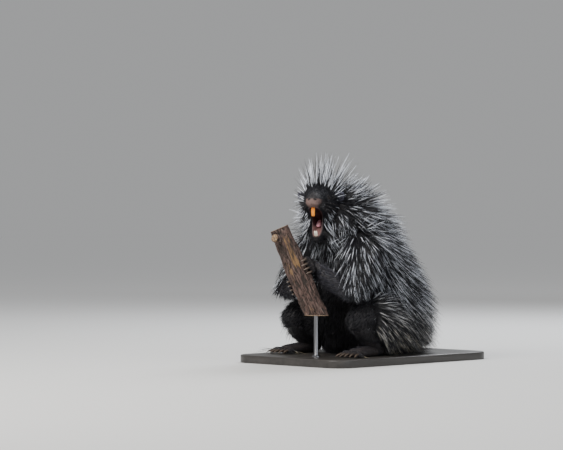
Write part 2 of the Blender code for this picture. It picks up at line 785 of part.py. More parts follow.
def make_claw(name, root, way, down, length, radius):
    """A tapering claw that leaves its toe level and curves down."""
    path = [root + length * (way * at + down * CLAW_CURVE * at * abs(at)) for at, _ in CLAW]
    return tube(name, path, [radius * width for _, width in CLAW], sides=5)


def make_forepaw(side):
    """A palm on the branch with four fingers that curl round it, each with a long claw."""
    height, palm_angle, end_angle = PAWS[side]
    turn = 1 if end_angle > palm_angle else -1
    thick, thin = PALM_HALF_THICK, PALM_HALF_THICK * PALM_PRESS
    middle = branch_radius(height) + thin
    width = FINGER_SPACING * FINGER_COUNT / 2
    heel_angle, heel_off, heel_width, heel_thick = PALM_HEEL
    heel = round_branch(height - WRIST_DROP, palm_angle + turn * heel_angle, middle + heel_off)
    stations = [
        (*heel, heel_width, heel_thick, heel_thick),
        (*round_branch(height, palm_angle + turn * PALM_SPAN[0], middle), width * 0.94, thick, thick),
        (*round_branch(height, palm_angle + turn * PALM_SPAN[1], middle), width, thin, thin),
    ]
    paw = loft("forepaw_" + side, stations, 12, 5, ends=(0.8, 0.7), across=BRANCH_AXIS, dome=(45,))
    fingers = []
    for k in range(FINGER_COUNT):
        rise = height + (k - (FINGER_COUNT - 1) / 2) * FINGER_SPACING
        bark = branch_radius(rise)
        reach = end_angle - turn * FINGER_FAN * abs(k - 1.6)
        angles = np.linspace(palm_angle - turn * PALM_SPAN[0], reach, len(FINGER_TAPER))
        radii = [FINGER_RADIUS * share for share in FINGER_TAPER]
        path = [round_branch(rise, a, bark + r * 0.92) for a, r in zip(angles, radii)]
        fingers.append(tube(f"Finger{k}", path, radii))
        claw_span = turn * math.degrees(FORE_CLAW_LENGTH / (bark + 0.004))
        path = [round_branch(rise, reach + claw_span * share, bark + off) for share, _, off in FORE_CLAW]
        radii = [FORE_CLAW_RADIUS * wide for _, wide, _ in FORE_CLAW]
        fingers.append(tube(f"Claw{k}", path, radii, sides=5))
    unite(paw, fingers)
    return paw


def wrist_of(side):
    height, palm_angle, end_angle = PAWS[side]
    turn = 1 if end_angle > palm_angle else -1
    angle = palm_angle - turn * WRIST_ANGLE
    return round_branch(height - WRIST_DROP, angle, branch_radius(height) + WRIST_OFF)


def make_forearm(side):
    elbow, wrist = on_side(ELBOW, side), wrist_of(side)
    middle = elbow.lerp(wrist, 0.5) - Vector((0, 0, FOREARM_SAG))
    stations = [
        (*elbow, ELBOW_RADIUS, ELBOW_RADIUS, ELBOW_RADIUS),
        (*middle, FOREARM_RADII[0], FOREARM_RADII[1], FOREARM_RADII[1]),
        (*wrist, WRIST_RADII[0], WRIST_RADII[1], WRIST_RADII[1]),
    ]
    return loft("forearm_" + side, stations, sides=12, rows=6, across=(0, 0, 1), dome=(45,))


def by_height(value, table):
    """Reads a table of (place, value) pairs between its rows."""
    return float(np.interp(value, [row[0] for row in table], [row[1] for row in table]))


def quill_lie_trunk(spot, normal):
    """Lie, length and sag of the quills of neck, chest and rump, or None on belly and throat."""
    facing = Vector((normal.x, normal.y, 0))
    if facing.length < 0.15 and spot.z < NAPE_Z:
        return None
    behind = facing.normalized().y if spot.z < NAPE_Z else facing.y
    if behind < by_height(spot.z, BARE_FRONT):
        return None
    flank = 1 - max(0.0, behind)
    way = (normal + (by_height(spot.z, BACK_LEAN) + 0.30 * flank) * TAILWARD).normalized()
    return way, by_height(spot.z, BACK_LENGTH) * (1 - 0.32 * flank), by_height(spot.z, BACK_SAG)


def quill_lie_head(spot, normal):
    """Quills fan up from the crown and stand back from the cheeks; the face has none."""
    turned = head_matrix().to_3x3()
    local = head_matrix().inverted() @ spot
    across, up, back = turned @ Vector((1, 0, 0)), turned @ Vector((0, 0, 1)), turned @ Vector((0, 1, 0))
    side = abs(local.x) / HEAD_HALF_WIDTH
    start = 0.058 + 0.024 * min(1.0, side) ** 2
    if local.z < -0.034 or local.y < start or normal.dot(back) > 0.9:
        return None
    grow = min(1.0, (local.y - start) / 0.030)
    low = max(0.0, min(1.0, (local.z + 0.034) / 0.050))
    beside = min(1.0, side) ** 2 * (1 - max(0.0, min(1.0, (local.z - 0.010) / 0.020)))
    out = normal - CREST_NARROWING * normal.dot(across) * across
    way = (out + (0.30 + 0.90 * beside) * back + (0.30 * low - 0.10) * up).normalized()
    return way, (0.040 + 0.046 * grow) * (0.55 + 0.45 * low), 0.06


def quill_lie_tail(spot, normal):
    if normal.z < -0.15:
        return None
    share = by_height(spot.y, ((0.15, 0.0), (0.31, 1.0)))
    along = Vector((-0.20 - 0.25 * share, 1.0, -0.10)).normalized()
    return (normal * 0.80 + along).normalized(), 0.046 - 0.010 * share, 0.10


def quill_lie_arm(spot, normal):
    side = Vector((math.copysign(1.0, spot.x), 0.2, 0.0))
    if normal.dot(side) < 0.25 or spot.z < 0.195:
        return None
    return (normal * 0.75 + Vector((0, -0.05, -0.9))).normalized(), 0.040, 0.12


def quill_lie_thigh(spot, normal):
    side = Vector((math.copysign(1.0, spot.x), 0.35, 0.15))
    if normal.dot(side) < 0.35 or spot.y < -0.03:
        return None
    return (normal * 0.80 + Vector((0, 0.35, -0.55))).normalized(), 0.040, 0.12


def from_lowest(corners):
    """A triangle's corners in the same turn, from the lowest, so that the same mesh reads the same."""
    first = corners.index(min(corners))
    return corners[first:] + corners[:first]


def scatter(obj, spacing, lie, draw):
    """Evenly spaced quill roots on the object's surface: place, normal, lie, length and sag."""
    mesh = obj.data
    mesh.calc_loop_triangles()
    triangles = [[tuple(mesh.vertices[i].co) for i in t.vertices] for t in mesh.loop_triangles]
    corners = np.array(sorted(from_lowest(t) for t in triangles))
    normals = np.cross(corners[:, 1] - corners[:, 0], corners[:, 2] - corners[:, 0])
    areas = np.linalg.norm(normals, axis=1) / 2
    tries = int(TRIES_PER_QUILL * areas.sum() / spacing**2)
    picks = draw.choices(range(len(areas)), weights=areas.tolist(), k=tries)
    kept, roots = np.empty((0, 3)), []
    for pick in picks:
        u, v = draw.random(), draw.random()
        if u + v > 1:
            u, v = 1 - u, 1 - v
        a, b, c = corners[pick]
        spot = a + (b - a) * u + (c - a) * v
        if len(kept) and np.min(np.sum((kept - spot) ** 2, axis=1)) < spacing**2:
            continue
        normal = Vector(normals[pick] / (2 * areas[pick]))
        found = lie(Vector(spot), normal)
        if found is None:
            continue
        kept = np.vstack([kept, spot])
        roots.append((Vector(spot), normal, *found))
    return roots


def quill_path(root, normal, way, length, sag):
    """Root, middle and tip of a quill that bends a little under its own weight."""
    fall = Vector((0, 0, -1)) - way * way.dot(Vector((0, 0, -1)))
    return (
        root - normal * QUILL_SINK - way * QUILL_SINK * 0.3,
        root + way * length * 0.5,
        root + way * length + fall * length * sag,
    )


def segment_gap(a, b, starts, ends):
    """The least distance from the segment a-b to each of many segments."""
    along = ends - starts
    best = np.full(len(starts), np.inf)
    for share in np.linspace(0, 1, 9):
        point = a + (b - a) * share
        t = np.clip(((point - starts) * along).sum(1) / (along * along).sum(1), 0, 1)
        best = np.minimum(best, np.linalg.norm(starts + along * t[:, None] - point, axis=1))
    return best


def is_inside(skin, point):
    """Whether a ray from the point leaves the skin an odd number of times."""
    ray, hits = Vector((0.21, 0.34, 0.92)).normalized(), 0
    spot = skin.ray_cast(point, ray)[0]
    while spot is not None:
        hits += 1
        spot = skin.ray_cast(spot + ray * 1e-6, ray)[0]
    return hits % 2 == 1


class Crowd:
    """What a new quill has to stay clear of: every node's skin and the quills grown before it."""

    def __init__(self, nodes):
        graph = bpy.context.evaluated_depsgraph_get()
        self.skins = {obj.name: BVHTree.FromObject(obj, graph) for obj in nodes}
        self.starts, self.ends = [], []

    def is_clear(self, owner, path):
        root, middle, tip = path
        depth = self.skins[owner].find_nearest(root)[3]
        if depth < QUILL_REACH or not is_inside(self.skins[owner], root):
            return False
        outside = root.lerp(middle, QUILL_SINK / (middle - root).length)
        points = [outside.lerp(middle, k / 8) for k in range(9)]
        points += [middle.lerp(tip, k / 8) for k in range(1, 9)]
        for step, point in enumerate(points):
            if point.z < BASE_THICKNESS + QUILL_REACH:
                return False
            for name, skin in self.skins.items():
                if name == owner and step < 5:
                    continue
                spot, normal, _, gap = skin.find_nearest(point, 0.03)
                if spot is None:
                    continue
                if gap < QUILL_REACH or ((point - spot).dot(normal) < 0 and is_inside(skin, point)):
                    return False
        if not self.starts:
            return True
        starts, ends = np.array(self.starts), np.array(self.ends)
        near = np.linalg.norm((starts + ends) / 2 - np.array(middle), axis=1) < 0.13
        if not near.any():
            return True
        for start, end in ((root, middle), (middle, tip)):
            gaps = segment_gap(np.array(start), np.array(end), starts[near], ends[near])
            if gaps.min() < 2 * QUILL_REACH - LIE_CLEARANCE:
                return False
        return True

    def add(self, path):
        for start, end in zip(path, path[1:]):
            self.starts.append(tuple(start))
            self.ends.append(tuple(end))


def make_quill(path):
    """A three-sided spike of flat faces that tapers from its sunken root to a point."""
    root, middle, tip = path
    along = (middle - root).normalized()
    points = []
    for centre, radius in ((root, QUILL_RADIUS), (middle, QUILL_RADIUS * QUILL_MIDDLE)):
        points += section(centre, along, [radius * TRIANGLE_SWELL] * 3, along.orthogonal(), 3, 2.0)
    points.append(tip)
    faces = [(2, 1, 0)]
    for k in range(3):
        n = (k + 1) % 3
        faces.append((k, n, 3 + n, 3 + k))
        faces.append((3 + k, 3 + n, 6))
    return add_object("Quill", points, faces)


def grow_quills(obj, spacing, lie, crowd, draw):
    """Fuses a coat of quills into a node, each bent or shortened until it is clear of the others."""
    quills = []
    for root, normal, way, length, sag in scatter(obj, spacing, lie, draw):
        length *= draw.uniform(*LENGTH_SPREAD)
        wander = Vector([draw.uniform(-WANDER, WANDER) for _ in range(3)])
        for lift, short in SECOND_TRIES:
            leant = (way + wander + normal * lift).normalized()
            path = quill_path(root, normal, leant, length * short, sag)
            if crowd.is_clear(obj.name, path):
                crowd.add(path)
                quills.append(make_quill(path))
                break
    unite(obj, quills)
    dissolve_slivers(obj)


def build():
    clear_scene()
    draw = random.Random(SEED)
    coat = material("dark_coat", COAT_COLOUR, 0.75)
    quilled = material("quilled_coat", COAT_COLOUR, 0.6)
    paw_skin = material("paw_skin", PAW_COLOUR, 0.7)
    tooth = material("tooth_enamel", TOOTH_COLOUR, 0.35)
    lower_tooth = material("lower_tooth_enamel", LOWER_TOOTH_COLOUR, 0.35)
    tongue_skin = material("tongue_skin", TONGUE_COLOUR, 0.4)
    eye_gloss = material("eye_gloss", EYE_COLOUR, 0.08)
    bark = material("bark", BARK_COLOUR, 0.9)
    base_finish = material("stand_finish", BASE_COLOUR, 0.55)
    steel = material("rod_steel", ROD_COLOUR, 0.35, 1.0)

    base, rod = make_stand()
    branch = make_branch()
    head = make_head()
    jaw = make_jaw()
    clear_of(jaw, head)
    tongue = make_tongue()
    clear_of(tongue, jaw, head)
    upper_teeth = make_incisors("upper_incisors", UPPER_INCISORS, head_matrix())
    lower_teeth = make_incisors("lower_incisors", LOWER_INCISORS, jaw_matrix())
    clear_of(upper_teeth, head)
    clear_of(lower_teeth, jaw)
    eyes = [make_eye("left"), make_eye("right")]
    ears = [make_ear("left"), make_ear("right")]
    for ear in ears:
        clear_of(ear, head)
    rump, chest, neck = make_trunk()
    clear_of(neck, head, jaw, *ears)
    clear_of(chest, head, jaw)
    tail = make_tail()
    clear_of(tail, rump)
    limbs = []
    for side in ("left", "right"):
        thigh = loft("thigh_" + side, sided(THIGH, side), sides=18, rows=9, ends=(0.6, 0.8))
        clear_of(thigh, rump, chest)
        shank = loft("shank_" + side, sided(SHANK, side), sides=12, rows=5, dome=(45,))
        flatten_below(shank, SEAT)
        clear_of(shank, thigh, rump)
        foot = make_hind_foot(side)
        clear_of(foot, shank, thigh, rump)
        upper_arm = loft("upper_arm_" + side, sided(UPPER_ARM, side), sides=16, rows=8, ends=(0.6, 0.8))
        clear_of(upper_arm, chest, neck, rump)
        forearm = make_forearm(side)
        clear_of(forearm, upper_arm, chest, rump, thigh)
        paw = make_forepaw(side)
        clear_of(paw, branch)
        clear_of(forearm, paw, branch)
        limbs += [thigh, shank, foot, upper_arm, forearm, paw]

    named = {obj.name: obj for obj in limbs}
    flesh = [head, jaw, neck, chest, rump, tail, *ears, *limbs]
    every = [*flesh, tongue, upper_teeth, lower_teeth, *eyes, branch, base, rod]
    crowd = Crowd([obj for obj in every if obj is not base])
    coats = [
        (head, HEAD_SPACING, quill_lie_head),
        (neck, NECK_SPACING, quill_lie_trunk),
        (chest, BACK_SPACING, quill_lie_trunk),
        (rump, BACK_SPACING, quill_lie_trunk),
        (tail, TAIL_SPACING, quill_lie_tail),
    ]
    for side in ("left", "right"):
        coats.append((named["upper_arm_" + side], LIMB_SPACING, quill_lie_arm))
        coats.append((named["thigh_" + side], LIMB_SPACING, quill_lie_thigh))
    for obj, spacing, lie in coats:
        grow_quills(obj, spacing, lie, crowd, draw)

    bare = [obj for obj in limbs if "paw" in obj.name or "foot" in obj.name]
    finishes = [(coat, flesh), (quilled, [entry[0] for entry in coats]), (paw_skin, bare)]
    finishes += [(tooth, [upper_teeth]), (lower_tooth, [lower_teeth]), (tongue_skin, [tongue])]
    finishes += [(eye_gloss, eyes), (bark, [branch]), (base_finish, [base]), (steel, [rod])]
    for finish, objs in finishes:
        for obj in objs:
            obj.data.materials.clear()
            obj.data.materials.append(finish)

    frame = bpy.data.objects.new("sitting_frame", None)
    frame.location = SITTING_FRAME
    bpy.context.scene.collection.objects.link(frame)
    for obj in every:
        if obj is not base:
            obj.parent = frame
        obj.data.shade_smooth()
        obj.data.set_sharp_from_angle(angle=math.radians(40))


if __name__ == "__main__":
    build()
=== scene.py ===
"""Looks of a life-size porcupine model: skin, coat, eyes, mouth, claws, perch, stand and stage.

The file is laid out as an add-on and run as a script. Every piece is made in the frame of the
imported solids, in metres, with the animal's left at +X and its body facing -Y.
"""

import math

import bmesh
import bpy
import numpy as np
from bpy.props import FloatProperty, FloatVectorProperty, IntProperty, PointerProperty
from bpy.types import Operator, Panel, PropertyGroup
from mathutils import Matrix, Vector
from mathutils.bvhtree import BVHTree


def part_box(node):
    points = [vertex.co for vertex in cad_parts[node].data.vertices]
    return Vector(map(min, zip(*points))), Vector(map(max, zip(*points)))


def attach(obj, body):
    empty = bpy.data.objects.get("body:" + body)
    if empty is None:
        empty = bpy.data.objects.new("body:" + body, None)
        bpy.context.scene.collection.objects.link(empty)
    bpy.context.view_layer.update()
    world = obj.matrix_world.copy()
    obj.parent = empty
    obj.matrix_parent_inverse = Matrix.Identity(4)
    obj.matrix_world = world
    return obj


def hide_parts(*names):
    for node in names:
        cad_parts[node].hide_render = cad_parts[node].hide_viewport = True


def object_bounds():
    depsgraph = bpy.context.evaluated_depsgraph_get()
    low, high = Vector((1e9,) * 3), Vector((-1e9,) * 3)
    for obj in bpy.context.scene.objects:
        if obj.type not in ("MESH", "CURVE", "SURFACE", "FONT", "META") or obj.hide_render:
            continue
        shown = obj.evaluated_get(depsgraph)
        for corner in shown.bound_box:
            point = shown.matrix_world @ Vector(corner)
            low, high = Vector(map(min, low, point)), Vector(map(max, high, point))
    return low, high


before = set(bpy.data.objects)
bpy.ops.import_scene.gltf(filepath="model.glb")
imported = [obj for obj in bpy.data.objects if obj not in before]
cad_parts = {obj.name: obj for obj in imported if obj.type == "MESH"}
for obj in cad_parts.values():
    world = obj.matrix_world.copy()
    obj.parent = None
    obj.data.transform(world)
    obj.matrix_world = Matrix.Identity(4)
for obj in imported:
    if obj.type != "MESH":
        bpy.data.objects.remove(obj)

bl_info = {
    "name": "Sitting Porcupine",
    "version": (1, 0, 0),
    "blender": (4, 5, 0),
    "location": "View3D > Sidebar > Porcupine",
    "description": "Builds the skin, coat, face, paws, perch and stand of a sitting porcupine",
    "category": "Object",
}

CAD_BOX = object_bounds()
SEED = 11

# The sitting frame of the animal in the frame of the solids, and the height of its seat.
SITTING = Matrix.Translation((0.0, -0.075, 0.0))
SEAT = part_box("stand_base")[1].z + 0.0003


def metres(*rows):
    """Rows given in tenths of a millimetre, in metres."""
    return tuple(tuple(value / 10000 for value in row) for row in rows)


# Stations of a form: centre x, y, z, half width, half depth on the near side, half depth on the far
# side. On the trunk near is the belly; on the head and tail near is the top.
TRUNK = metres(
    (0, 780, 400, 920, 880, 960),
    (0, 760, 850, 1120, 1060, 1140),
    (0, 700, 1350, 1170, 1120, 1180),
    (0, 560, 1920, 1100, 1040, 1100),
    (0, 340, 2460, 970, 880, 980),
    (0, 60, 2920, 810, 720, 820),
    (20, -200, 3280, 640, 580, 660),
    (-10, -340, 3470, 490, 440, 530),
    (-60, -400, 3620, 370, 340, 430),
)
TAIL = metres(
    (0, 1450, 780, 460, 400, 380),
    (-30, 1880, 600, 430, 300, 340),
    (-120, 2280, 480, 380, 240, 270),
    (-260, 2660, 400, 310, 200, 200),
    (-440, 3000, 340, 210, 150, 140),
)
THIGH = metres(
    (600, 620, 880, 580, 600, 560),
    (840, 180, 1000, 540, 560, 520),
    (1000, -260, 1060, 430, 440, 420),
    (1040, -520, 1000, 330, 330, 320),
)
SHANK = metres(
    (1030, -460, 980, 300, 300, 300),
    (1040, -260, 700, 260, 280, 280),
    (1030, -40, 440, 210, 220, 220),
    (1020, 20, 320, 190, 200, 200),
)
HIND_FOOT = metres(
    (1010, 140, 300, 160, 130, 140),
    (1030, -160, 300, 190, 140, 140),
    (1060, -480, 280, 230, 130, 130),
    (1080, -700, 270, 230, 110, 110),
)
UPPER_ARM = metres(
    (660, -40, 2700, 400, 420, 440),
    (800, -300, 2360, 360, 380, 380),
    (920, -560, 2000, 300, 310, 310),
    (990, -760, 1720, 250, 260, 260),
)
ELBOW = Vector((0.100, -0.080, 0.168))
ELBOW_RADIUS = 0.0240
FOREARM_RADII = (0.0215, 0.0205)
FOREARM_SAG = 0.004
WRIST_RADII = (0.0150, 0.0125)

# Hind toes: root, length, spacing, radius and the length and radius of the claws.
HIND_TOE_COUNT = 5
HIND_TOE_ROOT = (0.108, -0.070, 0.0262)
HIND_TOE_LENGTH = 0.022
HIND_TOE_SHORTER = 0.0016
HIND_TOE_SPREAD = 0.0096
HIND_TOE_RADIUS = 0.0062
HIND_TOE_FAN = 7.0
HIND_TOE_OUT = 5.0
HIND_TOE_ARCH = 0.0012
HIND_CLAW_LENGTH = 0.019
HIND_CLAW_RADIUS = 0.0034
CLAW = ((-0.25, 0.9), (0.2, 1.0), (0.65, 0.62), (1.0, 0.16))
CLAW_CURVE = 0.30

# The branch: the point of its axis where the paws hold it, its lean, radii and both ends.
BRANCH_GRIP = Vector((0.0055, -0.1575, 0.223))
BRANCH_AXIS = Vector((-0.30, -0.30, 1.0)).normalized()
BRANCH_RADIUS = 0.0255
BRANCH_TAPER = 0.022
BRANCH_FOOT_Z = 0.112
BRANCH_TOP = 0.092
BRANCH_CUT_ALLOWANCE = 0.02
KNOT = (
    (0.066, 285.0, 0.010, 0.0120),
    (0.070, 285.0, 0.022, 0.0105),
    (0.076, 285.0, 0.033, 0.0095),
)
# Where the bark has worn off: the side, how wide, and how far along from its middle.
WORN_SIDE = Vector((0.80, -0.55, 0.07)).normalized()
WORN_WIDTH = (-0.998, -0.90)
WORN_HEIGHT = 0.035
WORN_LENGTH = (0.030, 0.055)
ROD_COLLAR = ((0.0098, 0.0), (0.0096, 0.0030), (0.0086, 0.0040))

FINGER_COUNT = 4
FINGER_RADIUS = 0.0056
FINGER_SPACING = 0.0100
FINGER_FAN = 7.0
LONG_FINGER = 1.6
FINGER_TAPER = (1.0, 1.02, 0.96, 0.86)
FORE_CLAW_LENGTH = 0.017
FORE_CLAW_RADIUS = 0.0031
FORE_CLAW = ((-0.2, 0.9, 0.0056), (0.2, 1.0, 0.0058), (0.6, 0.72, 0.0042), (1.0, 0.18, 0.0010))
PALM_HALF_THICK = 0.0085
PALM_PRESS = 0.86
PALM_HEEL = (-24.0, 0.0080, 0.0140, 0.0115)
PALM_SPAN = (-8.0, 14.0)
WRIST_ANGLE = 30.0
WRIST_OFF = 0.019
WRIST_DROP = 0.003
PAWS = {"left": (-0.010, 56.0, 16.0), "right": (-0.042, 160.0, 208.0)}
SIDES = ("left", "right")

# Head frame: origin at the tip of the nose, x to the animal's left, y back, z up.
NOSE_TIP = Vector((0.0382, -0.1368, 0.366))
HEAD_TURN = math.radians(30.0)
HEAD_LIFT = math.radians(5.0)
HEAD = metres(
    (0, 15, 5, 132, 118, 92),
    (0, 80, 10, 170, 186, 122),
    (0, 200, 15, 195, 248, 144),
    (0, 360, 15, 238, 300, 178),
    (0, 520, 20, 292, 345, 220),
    (0, 700, 30, 350, 380, 280),
    (0, 880, 30, 378, 400, 330),
    (0, 1060, 10, 365, 370, 330),
    (0, 1200, -30, 310, 300, 290),
)
CHEEKS = metres(
    (0, 640, -300, 205, 190, 200),
    (0, 770, -330, 290, 240, 270),
    (0, 930, -330, 345, 270, 300),
    (0, 1080, -280, 320, 250, 260),
)
# The loop of the lips on the left, from the middle of the upper lip to the middle of the lower one:
# x, y, z and thickness.
LIPS = metres(
    (0, 90, -102, 12),
    (72, 104, -113, 12),
    (112, 170, -130, 12),
    (130, 280, -158, 12),
    (134, 400, -203, 12),
    (128, 500, -278, 12),
    (116, 545, -372, 12),
    (106, 548, -470, 12),
    (98, 525, -570, 13),
    (86, 488, -655, 14),
    (58, 444, -722, 14),
    (0, 420, -744, 14),
)
THROAT = np.array((0.0, 0.080, -0.036))
LIP_SAMPLES = 96
MOUTH_MIDDLE_Z = -0.043
JAW_HINGE = Vector((0.0, 0.084, -0.020))
GAPE = math.radians(45.0)
JAW = metres(
    (0, 60, -160, 270, 150, 120),
    (0, -180, -170, 255, 140, 120),
    (0, -380, -180, 190, 120, 100),
    (0, -560, -170, 140, 100, 80),
    (0, -660, -160, 105, 80, 65),
)
TONGUE = metres(
    (0, -40, -85, 64, 30, 40),
    (0, -190, -70, 62, 36, 48),
    (0, -320, -60, 54, 32, 44),
)
EYE_CENTRE = Vector((0.0222, 0.0505, 0.0151))
EYE_OUTWARD = Vector((0.86, -0.42, 0.26)).normalized()
EYE_RADIUS = 0.0058
LID_RADIUS = 0.0013
LID_RISE = 0.0034
LID_RING = 0.0051
LID_STRETCH = (1.06, 0.84)
EAR_ROOT = Vector((0.0340, 0.0800, 0.0145))
EAR_HEIGHT = 0.0195
EAR_RADII = (0.0100, 0.0056, 0.0130)
EAR_SPLAY = math.radians(52)
EAR_TURN = math.radians(32)
CUP_CENTRE = (0.0, -0.0058, 0.0085)
CUP_RADII = (0.0076, 0.0066, 0.0094)
NOSTRIL = Vector((0.0066, -0.0006, 0.0068))
NOSTRIL_RADII = (0.0034, 0.0042, 0.0012)
NOSTRIL_SLANT = math.radians(20)
TOOTH_WIDTH = 0.0040
TOOTH_DEPTH = 0.0034
TOOTH_SQUARE = 2.67
TOOTH_WIDTHS = ((-0.4, 1.0), (0.3, 1.0), (0.88, 0.88), (1.0, 0.66))
TOOTH_DEPTHS = ((-0.4, 1.0), (0.2, 1.0), (0.7, 0.88), (1.0, 0.26))
UPPER_INCISORS = ((0, 0.0110, -0.0115), (0, -0.10, -1), (0, 0.0040, 0), 0.0185)
LOWER_INCISORS = ((0, -0.0640, -0.0085), (0, -0.16, 1), (0, 0.0030, 0), 0.0130)
WHISKER_FALL = Vector((0, 0.25, -0.45))
WHISKER_POINTS = 12
WHISKER_RADIUS = 0.00026

# Small swellings and hollows of the face: place on the left side, reach, height of the skin.
FACE_RELIEF = (
    ((0.0066, 0.0000, 0.0098), 0.0050, 0.0010),
    ((0.0110, 0.0060, -0.0030), 0.0085, 0.0012),
    ((0.0000, 0.0180, 0.0250), 0.0120, 0.0010),
    ((0.0215, 0.0460, 0.0245), 0.0090, 0.0016),
    ((0.0245, 0.0600, 0.0190), 0.0080, 0.0009),
    ((0.0195, 0.0330, 0.0080), 0.0090, -0.0012),
    ((0.0000, -0.0020, 0.0010), 0.0024, -0.0008),
    ((0.0000, -0.0010, -0.0050), 0.0026, -0.0012),
    ((0.0000, 0.0060, -0.0092), 0.0026, -0.0012),
)

# How deep the skin lies inside the solids, for the short coat over it.
TRUNK_DEPTH = 0.0100
TAIL_DEPTH = 0.0060
THIGH_DEPTH = 0.0060
ARM_DEPTH = 0.0055
FOREARM_DEPTH = 0.0040
WRIST_DEPTH = 0.0015
SHANK_DEPTH = 0.0035
PAW_DEPTH = 0.0006
HEAD_DEPTH = 0.0022
JAW_DEPTH = 0.0012

# Forms of the skull that carry the crest, and the room that strands leave free, in the head's frame.
SKULL = ("head", "cheeks")
BRANCH_CLEARANCE = 0.0012
EYE_FRONT = 0.004
EYE_CLEARANCE = 0.0056
MOUTH_HALF_WIDTH = 0.0135
MOUTH_ROOF = -0.0125
MOUTH_FLOOR = ((0.004, -0.062), (0.058, -0.032))

# The long coat, by height on the trunk, as in the solids: how far round to the front it reaches,
# its lean towards the tail, its length and its sag.
TAILWARD = np.array((0.0, 0.30, -1.0)) / math.hypot(0.30, 1.0)
NAPE_Z = 0.335
BARE_FRONT = ((0.10, 0.05), (0.17, -0.30), (0.21, -0.60), (0.25, -1.20))
BACK_LEAN = ((0.18, 0.58), (0.29, 0.66), (0.335, 0.42), (0.365, 0.08))
BACK_LENGTH = ((0.03, 0.056), (0.10, 0.076), (0.22, 0.075), (0.30, 0.072), (0.36, 0.088))
BACK_SAG = ((0.25, 0.16), (0.36, 0.07))
HEAD_HALF_WIDTH = 0.038
CREST_NARROWING = 0.50
LEAST_RISE = 0.34
CHEST_SPREAD = 0.30
HAIR_LONGER = ((0.20, 1.22), (0.28, 1.0))

# The short fur of face, ears and paws. A band or tip past the strand's end is never reached.
FACE_CENTRE = Vector((0, 0.045, -0.02))
FACE_REACH = 0.095
EAR_FUR_LENGTH = 0.0075
PAW_SPACING = 0.0017
PAW_FUR_RADIUS = 0.00030
HAIR_MARKS = ("Along", "Band", "Warmth", "Shade", "Tip")
NEVER = 2.0

# First words of the nodes that the skin replaces.
FLESH = ("head", "lower_jaw", "ear_", "neck", "chest", "rump", "tail", "thigh", "shank", "hind_foot",
         "upper_arm", "forearm", "forepaw")

MOST_PIECE_TRIANGLES = 196000
SKIN_SHARE = 0.94
PATCH = 0.003
REACH_MARGIN = 0.018

CAMERA_AZIMUTH = math.radians(45.0)
CAMERA_DISTANCE = 5.0
CAMERA_HEIGHT = 0.315
CAMERA_ASIDE = -0.1382
FRAME_WIDTH = 1.295
SENSOR = 36.0
LIGHT_TARGET = Vector((0, -0.05, 0.24))
FLOOR_HALF = 40
FLOOR_FADE = (1.0, 6.0)


class PorcupineSkin(PropertyGroup):
    body_detail: FloatProperty(
        name="Body detail", description="Voxel size of the trunk and limbs", default=0.0030, unit="LENGTH")
    head_detail: FloatProperty(
        name="Head detail", description="Voxel size of the head", default=0.0008, unit="LENGTH")
    paw_detail: FloatProperty(
        name="Paw detail", description="Voxel size of the paws", default=0.0011, unit="LENGTH")
    fur_colour: FloatVectorProperty(
        name="Fur", description="Dark of the skin under the coat", default=(0.013, 0.011, 0.012),
        size=3, subtype="COLOR")
    muzzle_colour: FloatVectorProperty(
        name="Muzzle", description="Brown of the short fur round the nose", default=(0.155, 0.098, 0.086),
        size=3, subtype="COLOR")
    lip_colour: FloatVectorProperty(
        name="Lips", description="Bare skin of the lips", default=(0.19, 0.125, 0.115),
        size=3, subtype="COLOR")
    # The near-black of the mouth's lining is painted shade inside the open mouth.
    mouth_shade_colour: FloatVectorProperty(
        name="Mouth", description="Lining of the mouth", default=(0.026, 0.009, 0.009),
        size=3, subtype="COLOR")
    floor_colour: FloatVectorProperty(
        name="Mouth floor", description="Floor of the mouth behind the lower teeth",
        default=(0.20, 0.105, 0.098), size=3, subtype="COLOR")
    claw_colour: FloatVectorProperty(
        name="Claws", description="Horn of the claws", default=(0.055, 0.040, 0.030),
        size=3, subtype="COLOR")
    whisker_length: FloatProperty(
        name="Whiskers", description="Length of the longest whiskers", default=0.052, unit="LENGTH")
    whisker_count: IntProperty(name="Whisker count", description="Whiskers on each side", default=14)


class PorcupineCoat(PropertyGroup):
    quill_spacing: FloatProperty(
        name="Quill spacing", description="Distance between quills", default=0.0050, unit="LENGTH")
    quill_radius: FloatProperty(
        name="Quill radius", description="Thickest radius of a quill", default=0.00096, unit="LENGTH")
    hair_spacing: FloatProperty(
        name="Hair spacing", description="Distance between guard hairs", default=0.0037, unit="LENGTH")
    hair_radius: FloatProperty(
        name="Hair radius", description="Radius of a tuft of guard hair", default=0.00042, unit="LENGTH")
    fur_spacing: FloatProperty(
        name="Fur spacing", description="Distance between tufts of short fur", default=0.0031,
        unit="LENGTH")
    fur_radius: FloatProperty(
        name="Fur radius", description="Radius of a tuft of short fur", default=0.00060, unit="LENGTH")
    face_spacing: FloatProperty(
        name="Face spacing", description="Distance between tufts on the face", default=0.00135,
        unit="LENGTH")
    dark_colour: FloatVectorProperty(
        name="Dark", description="Dark of the coat", default=(0.012, 0.012, 0.016), size=3, subtype="COLOR")
    pale_colour: FloatVectorProperty(
        name="Pale", description="Silver of the long tips", default=(0.80, 0.84, 0.92),
        size=3, subtype="COLOR")
    warm_colour: FloatVectorProperty(
        name="Warm", description="Straw colour of the rump and tail", default=(0.62, 0.50, 0.26),
        size=3, subtype="COLOR")


